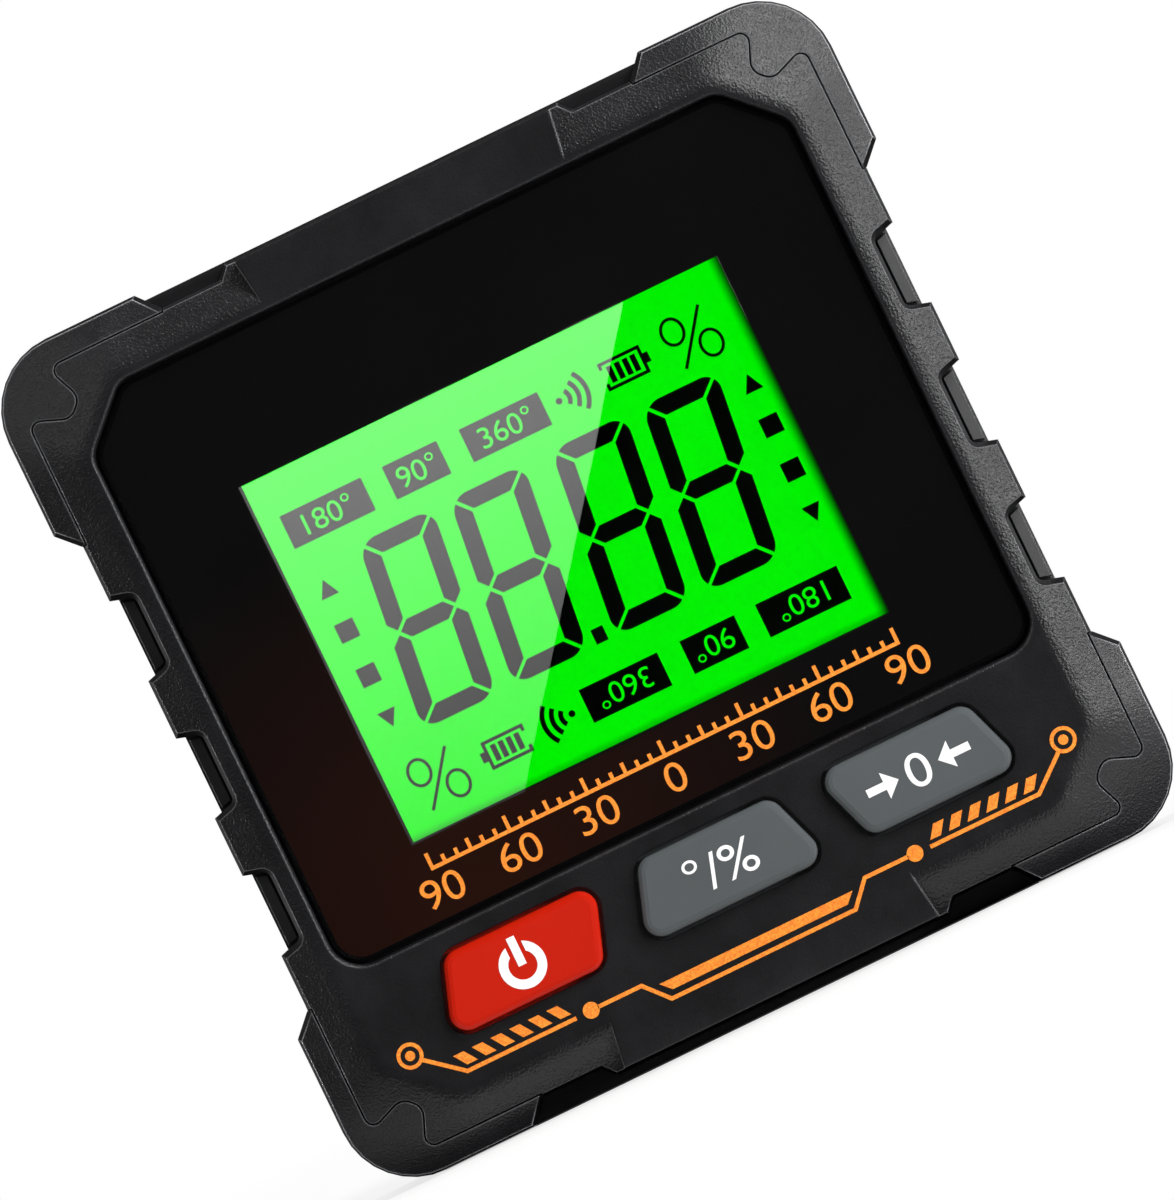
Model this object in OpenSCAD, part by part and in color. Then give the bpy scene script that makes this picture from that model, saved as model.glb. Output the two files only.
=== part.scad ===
// Digital angle gauge: a square case with a magnetic base, a lit display and three keys.
// Front faces -Y, the measuring base is at z = 0, sizes in millimetres.

/* [Case] */
// Width across the corner pads
body_w = 60.8; // [59:0.2:65]
// Height from the measuring base to the top pads
body_h = 61.4; // [59.8:0.2:65.8]
// Thickness of the rear case's walls
wall_t = 2; // [1.6:0.1:2.4]
// Least thickness of the bezel's own walls
skin_t = 1.4; // [1.2:0.1:1.6]
// Outer radius of the four corners
corner_r = 5.2; // [4.6:0.1:5.6]
// Length of a corner pad up the side, before its ramp
pad_len = 12.1; // [11.3:0.1:12.8]
// Length of the ramp that ends a pad
pad_ramp = 1.5; // [1.2:0.1:2]
// How far the sides step in between the pads
waist_inset = 1.45; // [1.2:0.05:1.7]
// How far the bezel's sides lean in between its back edge and the face
draft = 0.4; // [0.2:0.05:0.5]
// How far the rear case steps in from the bezel at its sides and top
rear_step = 0.6; // [0.3:0.05:0.8]
// Chamfer round the back edge
back_chamfer = 0.8; // [0.4:0.1:1.2]

/* [Top and bottom edges] */
// Distance from the side of the case to the edge notch
notch_at = 11.8; // [11.4:0.1:12.4]
// Length of the notch's outer ramp
notch_ramp = 1.3; // [1:0.1:1.6]
// Length of the notch's floor
notch_floor = 4.25; // [3.5:0.05:5]
// Depth of the notch
notch_d = 1.55; // [1.3:0.05:1.7]
// Length of the ramp up to the middle tab
tab_ramp = 0.75; // [0.5:0.05:1]
// How far the middle tab stays below the pads
tab_drop = 0.7; // [0.5:0.05:0.9]
// Strip of bevel left at each end of the middle tab
tab_end = 0.6; // [0.45:0.05:0.75]
// How much the middle tab narrows towards the face
tab_flare = 0.75; // [0.4:0.05:1]

/* [Front bevel] */
// Distance from the side of the case to the bevel's inner edge
bevel_side = 4.1; // [3.9:0.05:4.15]
// Distance from the top or base to the bevel's inner edge
bevel_end = 3.95; // [3.7:0.05:4.2]
// Leg of the bevel's diagonal corners
bevel_cut = 4.25; // [3.8:0.05:4.4]
// Radius of the bevel's corners at its inner edge
bevel_r = 1.8; // [1.2:0.1:2.4]
// Slope of the bevel from the face, in degrees
bevel_angle = 28; // [24:1:32]
// Distance from the bevel's edge over which the face rolls into it
bevel_blend = 0.6; // [0.3:0.05:0.7]

/* [Side grips] */
// Number of grip windows in each side
grip_count = 3; // [2:1:3]
// Distance between grip windows
grip_pitch = 10.15; // [9.5:0.05:10.8]
// Length of a grip window at its inner end
grip_len = 4.9; // [4.2:0.1:5.4]
// Depth of a grip window from the side
grip_d = 1.65; // [1.4:0.05:1.8]
// How much a grip window widens towards the side
grip_flare = 0.5; // [0.2:0.1:0.7]
// Inner corner radius of a grip window
grip_r = 0.5; // [0.3:0.05:0.6]

/* [Corner guards] */
// Width of the seam round a guard
seam_gap = 0.12; // [0.08:0.02:0.2]
// Distance from the case's edges to the tips of the bezel's ears
ear_at = 4.6; // [4.5:0.02:4.7]
// Distance from the case's edges to the guard's lobe
lobe_at = 5.7; // [5.6:0.02:5.8]
// Radius of the bezel's ears
ear_r = 0.6; // [0.5:0.02:0.7]
// Radius of the guard's lobe
lobe_r = 0.95; // [0.8:0.05:1]

/* [Display] */
// Bezel rail beside the window
rail_w = 3.55; // [3.45:0.05:3.8]
// Bezel above the window
brow_h = 5.1; // [5:0.05:5.6]
// Bezel below the window, where the keys are
chin_h = 14.85; // [14.7:0.05:15.6]
// Leg of the window's chamfered top corners
window_cut = 3.6; // [3.4:0.1:4.4]
// Radius of the window's lower corners
window_r = 2.1; // [1.8:0.1:2.6]
// Radius where the window's top chamfers start and end
window_cut_r = 1.6; // [1.3:0.1:1.8]
// Thickness of the window
window_t = 2; // [1.6:0.1:2.4]
// How far the window lies below the face
window_recess = 0.6; // [0.4:0.05:0.7]
// Gap round the window
window_gap = 0.2; // [0.15:0.05:0.3]
// Chamfer on the window's front edge
window_chamfer = 0.3; // [0.2:0.05:0.4]
// Width of the rounded lip round the window
lip_w = 0.3; // [0.2:0.05:0.5]
// Shelf behind the window's rim
shelf_t = 1.2; // [1:0.1:1.4]
// Wall between the window and the room behind the keys
key_wall = 0.7; // [0.6:0.05:0.9]
// Width of the display glass
lcd_w = 40; // [37:0.5:40.5]
// Height of the display glass
lcd_h = 31.5; // [29:0.5:34]
// Thickness of one of the two glass plates
glass_t = 0.9; // [0.7:0.05:1]
// Glass ledge that carries the contacts
lcd_ledge = 3; // [2.6:0.1:3.4]
// Height of the glass above the window's lower edge
lcd_rise = 3.1; // [2.6:0.1:3.6]
// Gap between window and glass
lcd_gap = 0.3; // [0.2:0.05:0.5]
// Edge left free round the contact strip on its ledge
strip_edge = 0.5; // [0.4:0.05:0.7]
// Thickness of the light guide
backlight_t = 3.1; // [2.9:0.1:3.4]

/* [Keys] */
// Width of the outer keys at half height
key_w = 11.2; // [10.4:0.1:11.6]
// Width of the middle key at half height
mode_w = 11.7; // [10.8:0.1:12.2]
// Height of the keys
key_h = 5.3; // [4.8:0.1:5.4]
// Space between keys at half height
key_space = 3.05; // [2.8:0.05:3.3]
// Height of the keys' lower edge above the base
key_z = 7.75; // [7.4:0.05:7.85]
// Sideways lean of a key's ends over its height
key_lean = 1.85; // [1.5:0.05:2]
// Corner radius of the keys
key_r = 1.2; // [1.1:0.05:1.4]
// How far the keys stand proud of the face
key_proud = 0.8; // [0.7:0.05:1]
// Rounding of the keys' front edge
key_round = 0.5; // [0.35:0.05:0.6]
// Gap round a key in the face
key_gap = 0.25; // [0.2:0.05:0.3]
// Travel of a key
key_travel = 0.5; // [0.3:0.05:0.6]
// Thickness of the face at the keys
face_t = 2; // [1.8:0.1:2.2]
// Width and thickness of the flange that keeps a key in
flange_t = 0.7; // [0.6:0.05:0.8]
// Side of a square switch body
switch_w = 6; // [5.4:0.1:6.4]
// Height of a switch body above the board
switch_h = 3.3; // [3.1:0.1:3.5]
// Diameter of a switch plunger
plunger_d = 3.4; // [3:0.1:3.8]
// Length of a switch plunger that shows
plunger_out = 0.8; // [0.7:0.05:0.9]
// Length of a switch plunger inside its body
plunger_in = 1.4; // [1:0.1:1.6]
// Room behind a plunger when its key is down
plunger_room = 0.3; // [0.2:0.05:0.4]
// Side gap of a sliding plunger
plunger_gap = 0.12; // [0.08:0.02:0.2]

/* [Circuit board] */
// Thickness of the board
board_t = 1.2; // [1:0.1:1.6]
// Gap round the board
board_gap = 0.3; // [0.2:0.05:0.5]
// Room for parts between board and battery bay
chip_room = 1.9; // [1.8:0.1:2.6]
// Diameter of the bosses that carry the board
post_d = 4; // [3.8:0.1:4.2]
// Gap between the upper board bosses and the case's screw bosses
post_drop = 2.05; // [1.8:0.05:2.4]
// Shaft diameter of the board screws
board_screw_d = 1.6; // [1.4:0.1:1.8]
// Head diameter of the board screws
board_head_d = 3.4; // [3:0.1:3.6]
// Height of the board screws' heads
board_head_t = 1.1; // [0.9:0.1:1.3]
// Length of a board screw below its head
board_screw_l = 4; // [3:0.1:4.4]
// Side of the controller chip
chip_w = 7; // [6:0.5:9]
// Height of the controller chip
chip_t = 1.4; // [1:0.1:1.6]
// Place of the controller chip across the board
chip_x = 8; // [6:0.5:12]
// Side of the angle sensor
sensor_w = 4; // [3:0.5:5]
// Height of the angle sensor
sensor_t = 1; // [0.8:0.1:1.2]
// Place of the angle sensor across the board
sensor_x = -10; // [-14:0.5:-6]
// Diameter of the buzzer
buzzer_d = 11; // [9:0.5:12]
// Height of the buzzer
buzzer_t = 3.2; // [2.4:0.1:4]
// Diameter of the buzzer's sound hole
buzzer_hole = 2; // [1.4:0.1:2.6]

/* [Battery bay] */
// Diameter of a cell
cell_d = 10.5; // [10:0.1:10.8]
// Length of a cell with its contact nub
cell_l = 44.5; // [43:0.1:44.9]
// Length of a cell's contact nub
nub_l = 1; // [0.8:0.1:1.2]
// Diameter of a cell's contact nub
nub_d = 3.8; // [3.4:0.1:4]
// Side room round the cells
cell_gap = 0.3; // [0.2:0.05:0.5]
// Length of a battery spring when loaded
spring_l = 3; // [2.6:0.1:3.2]
// Wire diameter of a battery spring
spring_wire = 0.5; // [0.4:0.05:0.6]
// Thickness of the contact plates
plate_t = 0.4; // [0.3:0.05:0.5]
// Height of a contact plate
plate_h = 9; // [8:0.1:9.4]
// Width of the tail that leads a contact plate to the board
tail_w = 3; // [2:0.1:4]
// Thickness of the battery bay's floor
floor_t = 1.2; // [1:0.1:1.4]
// Thickness of the battery bay's walls
bay_wall_t = 2; // [1.8:0.1:2.2]
// Thickness of the cover and the back wall
cover_t = 1.9; // [1.7:0.1:2.2]
// How far the cover overlaps the bay's walls
cover_lap = 1.5; // [1.3:0.05:1.6]
// Gap round the cover
cover_gap = 0.2; // [0.15:0.05:0.25]
// Corner radius of the cover
cover_r = 2; // [1.5:0.1:3]
// Width of a hinge toe
toe_w = 6; // [5:0.5:8]
// Distance of the toes from the middle
toe_x = 16; // [12:0.5:18]
// Reach of a hinge toe under the back wall
toe_reach = 1.4; // [1.2:0.05:1.5]
// Thickness of the toes and of the latch nose
toe_t = 1; // [0.8:0.05:1.2]
// Room that a toe needs to swing
toe_room = 1.2; // [1:0.1:1.4]
// Side room round the toes and the latch nose
toe_gap = 0.3; // [0.2:0.05:0.4]
// Width of the latch tongue
latch_w = 9; // [8:0.5:11]
// Length of the slots beside the latch tongue
latch_l = 6; // [5:0.5:7]
// Width of the slots beside the latch tongue
latch_slot = 0.8; // [0.6:0.05:1]
// How far the latch nose reaches under the back wall
latch_bite = 0.45; // [0.35:0.05:0.55]
// Depth of the finger dip beside the latch
dip_d = 0.9; // [0.6:0.1:1.2]
// Distance between the grooves of the latch tongue
groove_pitch = 1.1; // [0.9:0.05:1.2]
// Depth of the grooves of the latch tongue
groove_d = 0.35; // [0.2:0.05:0.5]
// Thickness of the rib between the cells
rib_t = 1; // [0.8:0.1:1.2]

/* [Fastening and base] */
// Distance of the case screws from the case's edges
screw_at = 6.8; // [6.7:0.05:7]
// Shaft diameter of the case screws
screw_d = 2; // [1.8:0.1:2.2]
// Head diameter of the case screws
head_d = 4; // [3.6:0.1:4.2]
// Height of the case screws' heads
head_t = 1.6; // [1.2:0.1:1.8]
// Diameter of the bezel's screw bosses
boss_d = 5.2; // [4.8:0.1:5.4]
// Depth of the bezel's screw bosses
boss_l = 4.8; // [4.4:0.1:5]
// Closed end of a screw boss
boss_cap = 0.5; // [0.4:0.05:0.8]
// Length of the plastic under a case screw's head
clamp_l = 5; // [4:0.1:6]
// Diameter of a base magnet
magnet_d = 10; // [8:0.5:11]
// Thickness of a base magnet
magnet_t = 2.8; // [2:0.1:3.2]
// Distance of the magnets from the middle
magnet_x = 11; // [9:0.5:12]
// How far the magnets lie above the base's face
magnet_sunk = 0.15; // [0.05:0.05:0.3]

/* [Hidden] */
$fn = 48;
FIT = 0.1;
OVER = 1;
ARC = 8;
ROLL = 4;
BEYOND = 5;
BITE = 0.5;
CROSS_LONG = 0.6;
CROSS_WIDE = 0.16;
CROSS_DEEP = 0.45;
GROOVES = 4;

half_w = body_w / 2;
waist_x = half_w - waist_inset;

// Depths below the face, from front to back
window_back = window_recess + window_t;
shelf_back = window_back + shelf_t;
lcd_front = window_back + lcd_gap;
lcd_back = lcd_front + 2 * glass_t;
board_front = lcd_back + backlight_t;
board_back = board_front + board_t;
bezel_d = board_back;
floor_front = bezel_d + chip_room;
floor_back = floor_front + floor_t;
cell_mid = floor_back + cell_gap / 2 + cell_d / 2;
cover_front = cell_mid + cell_d / 2 + cell_gap;
body_d = cover_front + cover_t;

// The face's place, so that the middle of keys and case together is at y = 0
face_y = key_proud / 2 - body_d / 2;

// Window and display
window_half = waist_x - rail_w;
window_top = body_h - brow_h;
lcd_z = chin_h + lcd_rise;
guide_h = lcd_h - lcd_ledge - board_gap;
guide_z = lcd_z + lcd_ledge + board_gap;

// Inside of the bezel
cavity_side = waist_inset + draft + grip_d + skin_t;
cavity_end = notch_d + draft + skin_t;
cavity_cut = ear_at + lobe_at + sqrt(2) * skin_t - cavity_side - cavity_end;
boss_front = bezel_d - boss_l;
boss_clear = 2 * screw_at + sqrt(2) * (boss_d / 2 + board_gap);
board_side = cavity_side + board_gap;
board_end = cavity_end + board_gap;
board_cut = boss_clear - board_side - board_end;
post_x = half_w - board_side - post_d / 2;
post_z = [lcd_z, body_h - screw_at - boss_d / 2 - post_drop - post_d / 2];
post_hole = board_screw_d + FIT;

// Keys
key_x = mode_w / 2 + key_space + key_w / 2;
key_mid = key_z + key_h / 2;
flange_back = face_t + flange_t;
switch_front = board_front - switch_h;
plunger_front = switch_front - plunger_out;
key_room_top = chin_h - window_gap - key_wall;

// Battery bay
bay_l = cell_l + spring_l + 2 * plate_t;
bay_h = 2 * cell_d + 3 * cell_gap;
bay_mid = body_h / 2;
bay_z = bay_mid - bay_h / 2;
cell_rise = (cell_d + cell_gap) / 2;
plate_x = bay_l / 2 - plate_t;
cover_w = bay_l + 2 * cover_lap;
cover_h = bay_h + 2 * cover_lap;
cover_z = bay_z - cover_lap;
cover_top = cover_z + cover_h;
toe_back = cover_front - cover_gap;
toe_front = toe_back - toe_t;
nose_w = latch_w - 2 * latch_slot;
nose_reach = cover_gap + latch_bite;

// Case screws and magnets
screw_x = half_w - screw_at;
screw_z = [screw_at, body_h - screw_at];
head_front = bezel_d + clamp_l;
magnet_mid = (bezel_d + cover_front) / 2;

// Unit vector from one point to another
function toward(a, b) = (b - a) / norm(b - a);

// Plan position of a corner in a list of [x, z, radius]
function at(c, i) = [c[(i + len(c)) % len(c)][0], c[(i + len(c)) % len(c)][1]];

// Outline of a counter-clockwise polygon moved inwards by a distance, radii included
function inset(c, by) = [for (i = [0:len(c) - 1])
    let (d1 = toward(at(c, i - 1), at(c, i)), d2 = toward(at(c, i), at(c, i + 1)))
    let (n1 = [-d1[1], d1[0]], n2 = [-d2[1], d2[0]])
    let (p = at(c, i) + (n1 + n2) * by / (1 + n1 * n2))
    let (turn = d1[0] * d2[1] - d1[1] * d2[0], r = c[i][2])
    [p[0], p[1], r > 0 ? max(r - sign(turn) * by, 0.05) : 0]];

// Points along the arc that rounds one corner
function arc(p, u, v, r) =
    let (half = acos(u * v) / 2, mid = p + toward([0, 0], u + v) * r / sin(half))
    let (s = p + u * r / tan(half) - mid, e = p + v * r / tan(half) - mid)
    let (a = atan2(s[1], s[0]), b = atan2(e[1], e[0]))
    let (sweep = b - a + (b - a > 180 ? -360 : b - a < -180 ? 360 : 0))
    [for (k = [0:ARC]) mid + r * [cos(a + sweep * k / ARC), sin(a + sweep * k / ARC)]];

// Points of a polygon of [x, z, radius] with its corners rounded
function rounded(c) = [for (i = [0:len(c) - 1])
    each c[i][2] > 0
        ? arc(at(c, i), toward(at(c, i), at(c, i - 1)), toward(at(c, i), at(c, i + 1)), c[i][2])
        : [at(c, i)]];

// The same corners on the left side, in reverse order
function mirrored(c) = [for (i = [len(c) - 1:-1:0]) [-c[i][0], c[i][1], c[i][2]]];

// Corners of a rectangle on its lower left corner
function box(x, z, w, h, r = 0) = [[x, z, r], [x + w, z, r], [x + w, z + h, r], [x, z + h, r]];

// A rectangle with its corners cut at 45 degrees, kept off the case's edges
function octagon(side, end, cut, r = 0) =
    let (x = half_w - side, z0 = end, z1 = body_h - end)
    [[x - cut, z0, r], [x, z0 + cut, r], [x, z1 - cut, r], [x - cut, z1, r],
     [cut - x, z1, r], [-x, z1 - cut, r], [-x, z0 + cut, r], [cut - x, z0, r]];

// Right half of the case's outline with its corner pads and narrower waist, stepped in at side and top
pad_end = pad_len + pad_ramp;
function case_right(step) = [
    [half_w - step, 0, corner_r], [half_w - step, pad_len, 0], [waist_x - step, pad_end, 0],
    [waist_x - step, body_h - pad_end, 0], [half_w - step, body_h - pad_len, 0],
    [half_w - step, body_h - step, corner_r]];
rear_outline = concat(case_right(rear_step), mirrored(case_right(rear_step)));

// Bezel outline: the case with a notch at each side of its top and base tabs, and windows in its grips
notch_out = half_w - notch_at;
notch_in = notch_out - notch_ramp - notch_floor;
tab_half = notch_in - tab_ramp;
edge = [[notch_out, 0], [notch_out - notch_ramp, notch_d], [notch_in, notch_d], [tab_half, tab_drop]];
grip = [[0, -grip_len / 2 - grip_flare, 0], [grip_d, -grip_len / 2, grip_r],
    [grip_d, grip_len / 2, grip_r], [0, grip_len / 2 + grip_flare, 0]];
grip_z = [for (i = [0:grip_count - 1]) body_h / 2 + (i - (grip_count - 1) / 2) * grip_pitch];
bezel_right = concat(
    [for (i = [len(edge) - 1:-1:0]) [edge[i][0], edge[i][1], 0]],
    [for (i = [0:2]) case_right(0)[i]],
    [for (z = grip_z, g = grip) [waist_x - g[0], z + g[1], g[2]]],
    [for (i = [3:5]) case_right(0)[i]],
    [for (e = edge) [e[0], body_h - e[1], 0]]);
bezel_outline = concat(bezel_right, mirrored(bezel_right));

// Window outline, chamfered at the top and rounded at the bottom
window_outline = [
    [window_half, chin_h, window_r], [window_half, window_top - window_cut, window_cut_r],
    [window_half - window_cut, window_top, window_cut_r],
    [window_cut - window_half, window_top, window_cut_r],
    [-window_half, window_top - window_cut, window_cut_r], [-window_half, chin_h, window_r]];

// Key outline about its own middle: its lower and upper ends lean by these amounts
function key_outline(x, w, lean_left, lean_right) = [
    [x - w / 2 - lean_left / 2, key_z, key_r], [x + w / 2 - lean_right / 2, key_z, key_r],
    [x + w / 2 + lean_right / 2, key_z + key_h, key_r], [x - w / 2 + lean_left / 2, key_z + key_h, key_r]];
power_outline = key_outline(-key_x, key_w, key_lean, key_lean);
mode_outline = key_outline(0, mode_w, key_lean, -key_lean);
zero_outline = key_outline(key_x, key_w, -key_lean, -key_lean);

// Corner guard in the top right corner, measured from the case's edges, open beyond the case
notch_end = notch_at + notch_ramp;
guard_top = notch_d + draft;
guard_side = waist_inset + draft;
guard_reach = [[-BEYOND, pad_end, 0], [-BEYOND, -BEYOND, 0], [notch_end, -BEYOND, 0],
    [notch_end, guard_top, 0], [ear_at, guard_top, ear_r], [lobe_at, ear_at, lobe_r],
    [ear_at, lobe_at, lobe_r], [guard_side, ear_at, ear_r], [guard_side, pad_end, 0]];
guard_outline = [for (g = guard_reach) [half_w - g[0], body_h - g[1], g[2]]];

// Plan shape, in x and z, as a plate between two depths below the face
module slab(front, back) {
    translate([0, face_y + back, 0])
        rotate([90, 0, 0])
            linear_extrude(back - front)
                children();
}

module plate(front, back, outline) {
    slab(front, back)
        polygon(rounded(outline));
}

module rod(x, z, d, front, back) {
    slab(front, back)
        translate([x, z])
            circle(d = d);
}

// Closed shell through levels of [inset, depth], front level first
module tower(outline, levels) {
    loops = [for (l = levels) rounded(inset(outline, l[0]))];
    n = len(loops[0]);
    last = len(levels) - 1;
    points = [for (i = [0:last]) each [for (p = loops[i]) [p[0], face_y + levels[i][1], p[1]]]];
    sides = [for (i = [0:last - 1]) each [for (j = [0:n - 1])
        [i * n + j, i * n + (j + 1) % n, (i + 1) * n + (j + 1) % n, (i + 1) * n + j]]];
    front = [for (j = [n - 1:-1:0]) j];
    back = [for (j = [0:n - 1]) last * n + j];
    polyhedron(points, concat(sides, [front, back]));
}

// One corner's shape repeated by mirroring, from the top right corner
module to_corner(right, top) {
    translate([0, 0, top ? 0 : body_h])
        mirror([0, 0, top ? 0 : 1])
            mirror([right ? 0 : 1, 0, 0])
                children();
}

module each_corner() {
    for (right = [true, false], top = [true, false])
        to_corner(right, top)
            children();
}

// Bevelled block that the bezel and its guards are cut from
module front_block() {
    drop = 4;
    spread = drop / tan(bevel_angle);
    radius = bevel_blend / tan(bevel_angle / 2);
    roll = [for (k = [0:ROLL]) let (a = bevel_angle * k / ROLL)
        [bevel_blend - radius * sin(a), radius * (1 - cos(a))]];
    lean = draft / bezel_d;
    tab_outer = tab_half - tab_end;
    tab_inner = tab_outer - tab_flare;
    tab_root = body_h - bevel_end - bevel_blend - BITE;
    intersection() {
        tower(bezel_outline, [[draft + lean * OVER, -OVER], [-lean * OVER, bezel_d + OVER]]);
        union() {
            tower(octagon(bevel_side, bevel_end, bevel_cut, bevel_r), concat(roll, [[-spread, drop]]));
            plate(drop, bezel_d, box(-body_w, -body_w, 2 * body_w, 3 * body_w));
            for (top = [true, false])
                to_corner(true, top)
                    slab(0, drop)
                        polygon([[-tab_inner, tab_root], [tab_inner, tab_root],
                            [tab_outer, body_h], [-tab_outer, body_h]]);
        }
    }
}

module screw_bosses(d, front, back) {
    for (x = [-screw_x, screw_x], z = screw_z)
        rod(x, z, d, front, back);
}

module board_posts(d, front, back) {
    for (x = [-post_x, post_x], z = post_z)
        rod(x, z, d, front, back);
}

// Hollow behind the bezel's face, with the posts and bosses left standing in it
module bezel_hollow() {
    difference() {
        union() {
            plate(shelf_back, bezel_d + OVER, octagon(cavity_side, cavity_end, cavity_cut));
            intersection() {
                plate(face_t, shelf_back + OVER, octagon(cavity_side, cavity_end, cavity_cut));
                plate(0, bezel_d, box(-body_w, 0, 2 * body_w, key_room_top));
            }
        }
        board_posts(post_d, shelf_back - OVER, board_front);
        screw_bosses(boss_d, boss_front, bezel_d + 2 * OVER);
    }
}

module window_cutout() {
    rim = window_gap + lip_w;
    roll = [for (k = [0:ROLL]) let (a = 90 * k / ROLL)
        [lip_w * sin(a) - rim, window_recess * (1 - cos(a))]];
    tower(window_outline, concat([[-rim, -OVER]], roll, [[-window_gap, window_back]]));
    plate(window_recess, shelf_back + OVER,
        box(-lcd_w / 2 - board_gap, lcd_z - board_gap, lcd_w + 2 * board_gap, lcd_h + 2 * board_gap));
}

module front_bezel() {
    color("#232325")
        difference() {
            front_block();
            each_corner()
                plate(-OVER, bezel_d + OVER, inset(guard_outline, -seam_gap / 2));
            window_cutout();
            bezel_hollow();
            for (outline = [power_outline, mode_outline, zero_outline])
                plate(-OVER, face_t + OVER, inset(outline, -key_gap));
            board_posts(post_hole, board_front - board_screw_l, bezel_d);
            screw_bosses(screw_d + FIT, boss_front + boss_cap, bezel_d + OVER);
        }
}

module corner_guard(right, top) {
    color("#1b1b1c")
        intersection() {
            front_block();
            to_corner(right, top)
                plate(-OVER, bezel_d + OVER, inset(guard_outline, seam_gap / 2));
        }
}

module corner_guard_tl() {
    corner_guard(false, true);
}

module corner_guard_tr() {
    corner_guard(true, true);
}

module corner_guard_bl() {
    corner_guard(false, false);
}

module corner_guard_br() {
    corner_guard(true, false);
}

module display_window() {
    color("#0e0e0e")
        tower(window_outline, [[window_chamfer, window_recess], [0, window_recess + window_chamfer],
            [0, window_back]]);
}

// Two bonded glass plates, the rear one shorter so that the contact ledge shows
module lcd_panel() {
    color("#00e800") {
        plate(lcd_front, lcd_front + glass_t, box(-lcd_w / 2, lcd_z, lcd_w, lcd_h));
        plate(lcd_front + glass_t, lcd_back,
            box(-lcd_w / 2, lcd_z + lcd_ledge, lcd_w, lcd_h - lcd_ledge));
    }
}

// Light guide, cleared round the board bosses
module lcd_backlight() {
    color("#f2f4f0")
        difference() {
            plate(lcd_back, board_front, box(-lcd_w / 2, guide_z, lcd_w, guide_h));
            board_posts(post_d + 2 * board_gap, lcd_back - OVER, board_front + OVER);
        }
}

module lcd_connector() {
    strip_h = lcd_ledge - 2 * strip_edge;
    strip_w = lcd_w - 8 * strip_edge;
    color("#d9c7cc")
        plate(lcd_front + glass_t, board_front, box(-strip_w / 2, lcd_z + strip_edge, strip_w, strip_h));
}

module main_board() {
    color("#1f6b3a")
        difference() {
            plate(board_front, board_back, octagon(board_side, board_end, board_cut));
            board_posts(board_screw_d + 3 * FIT, board_front - OVER, board_back + OVER);
        }
}

module angle_sensor() {
    color("#2c2c2e")
        plate(board_back, board_back + sensor_t,
            box(sensor_x - sensor_w / 2, bay_mid - sensor_w / 2, sensor_w, sensor_w));
}

module controller_chip() {
    color("#262628")
        plate(board_back, board_back + chip_t,
            box(chip_x - chip_w / 2, bay_mid - chip_w / 2, chip_w, chip_w));
}

module piezo_buzzer() {
    z = bay_z + bay_h + bay_wall_t + buzzer_d / 2 + OVER;
    color("#1c1c1e")
        difference() {
            rod(0, z, buzzer_d, board_back, board_back + buzzer_t);
            rod(0, z, buzzer_hole, board_back + buzzer_t / 2, board_back + buzzer_t + OVER);
        }
}

// Screw from behind: shaft, round head and cross recess
module screw(x, z, shaft, head, tip, seat, head_h) {
    end = seat + head_h;
    long = head * CROSS_LONG;
    wide = head * CROSS_WIDE;
    difference() {
        union() {
            rod(x, z, shaft, tip, seat);
            rod(x, z, head, seat, end);
        }
        for (arm = [[long, wide], [wide, long]])
            plate(end - head_h * CROSS_DEEP, end + OVER,
                box(x - arm[0] / 2, z - arm[1] / 2, arm[0], arm[1]));
    }
}

module board_screws() {
    color("#8a8c90")
        for (x = [-post_x, post_x], z = post_z)
            screw(x, z, board_screw_d, board_head_d, board_back - board_screw_l, board_back,
                board_head_t);
}

module key_switches() {
    color("#303236")
        for (x = [-key_x, 0, key_x])
            difference() {
                plate(switch_front, board_front,
                    box(x - switch_w / 2, key_mid - switch_w / 2, switch_w, switch_w));
                rod(x, key_mid, plunger_d + 2 * plunger_gap, switch_front - OVER,
                    switch_front + plunger_in + key_travel + plunger_room);
            }
}

module plunger(x) {
    color("#caa24a")
        rod(x, key_mid, plunger_d, plunger_front, switch_front + plunger_in);
}

module plunger_power() {
    plunger(-key_x);
}

module plunger_mode() {
    plunger(0);
}

module plunger_zero() {
    plunger(key_x);
}

// Key cap with a rounded front edge, a flange behind the face and a stem to its switch
module key_body(outline, x) {
    edge = [for (a = [0:30:90]) [key_round * (1 - sin(a)), key_round * (1 - cos(a)) - key_proud]];
    tower(outline, concat(edge, [[0, face_t + flange_t / 2]]));
    plate(face_t, flange_back, inset(outline, -flange_t));
    rod(x, key_mid, plunger_d, flange_back - flange_t / 2, plunger_front);
}

module key_power() {
    color("#ce2410")
        key_body(power_outline, -key_x);
}

module key_mode() {
    color("#56595b")
        key_body(mode_outline, 0);
}

module key_zero() {
    color("#56595b")
        key_body(zero_outline, key_x);
}

module cover_toes(front, back, z, h, extra) {
    for (x = [-toe_x, toe_x])
        plate(front, back, box(x - toe_w / 2 - extra, z, toe_w + 2 * extra, h));
}

module magnets(d, z0, z1) {
    for (x = [-magnet_x, magnet_x])
        translate([x, face_y + magnet_mid, z0])
            cylinder(d = d, h = z1 - z0);
}

// Shell of the rear case, chamfered round the back
module rear_shell() {
    difference() {
        intersection() {
            tower(rear_outline, [[0, bezel_d - OVER], [0, body_d - back_chamfer],
                [back_chamfer + OVER, body_d + OVER]]);
            plate(bezel_d, body_d, box(-body_w, -OVER, 2 * body_w, body_h + 2 * OVER));
        }
        plate(bezel_d - OVER, cover_front, inset(rear_outline, wall_t));
    }
}

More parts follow.
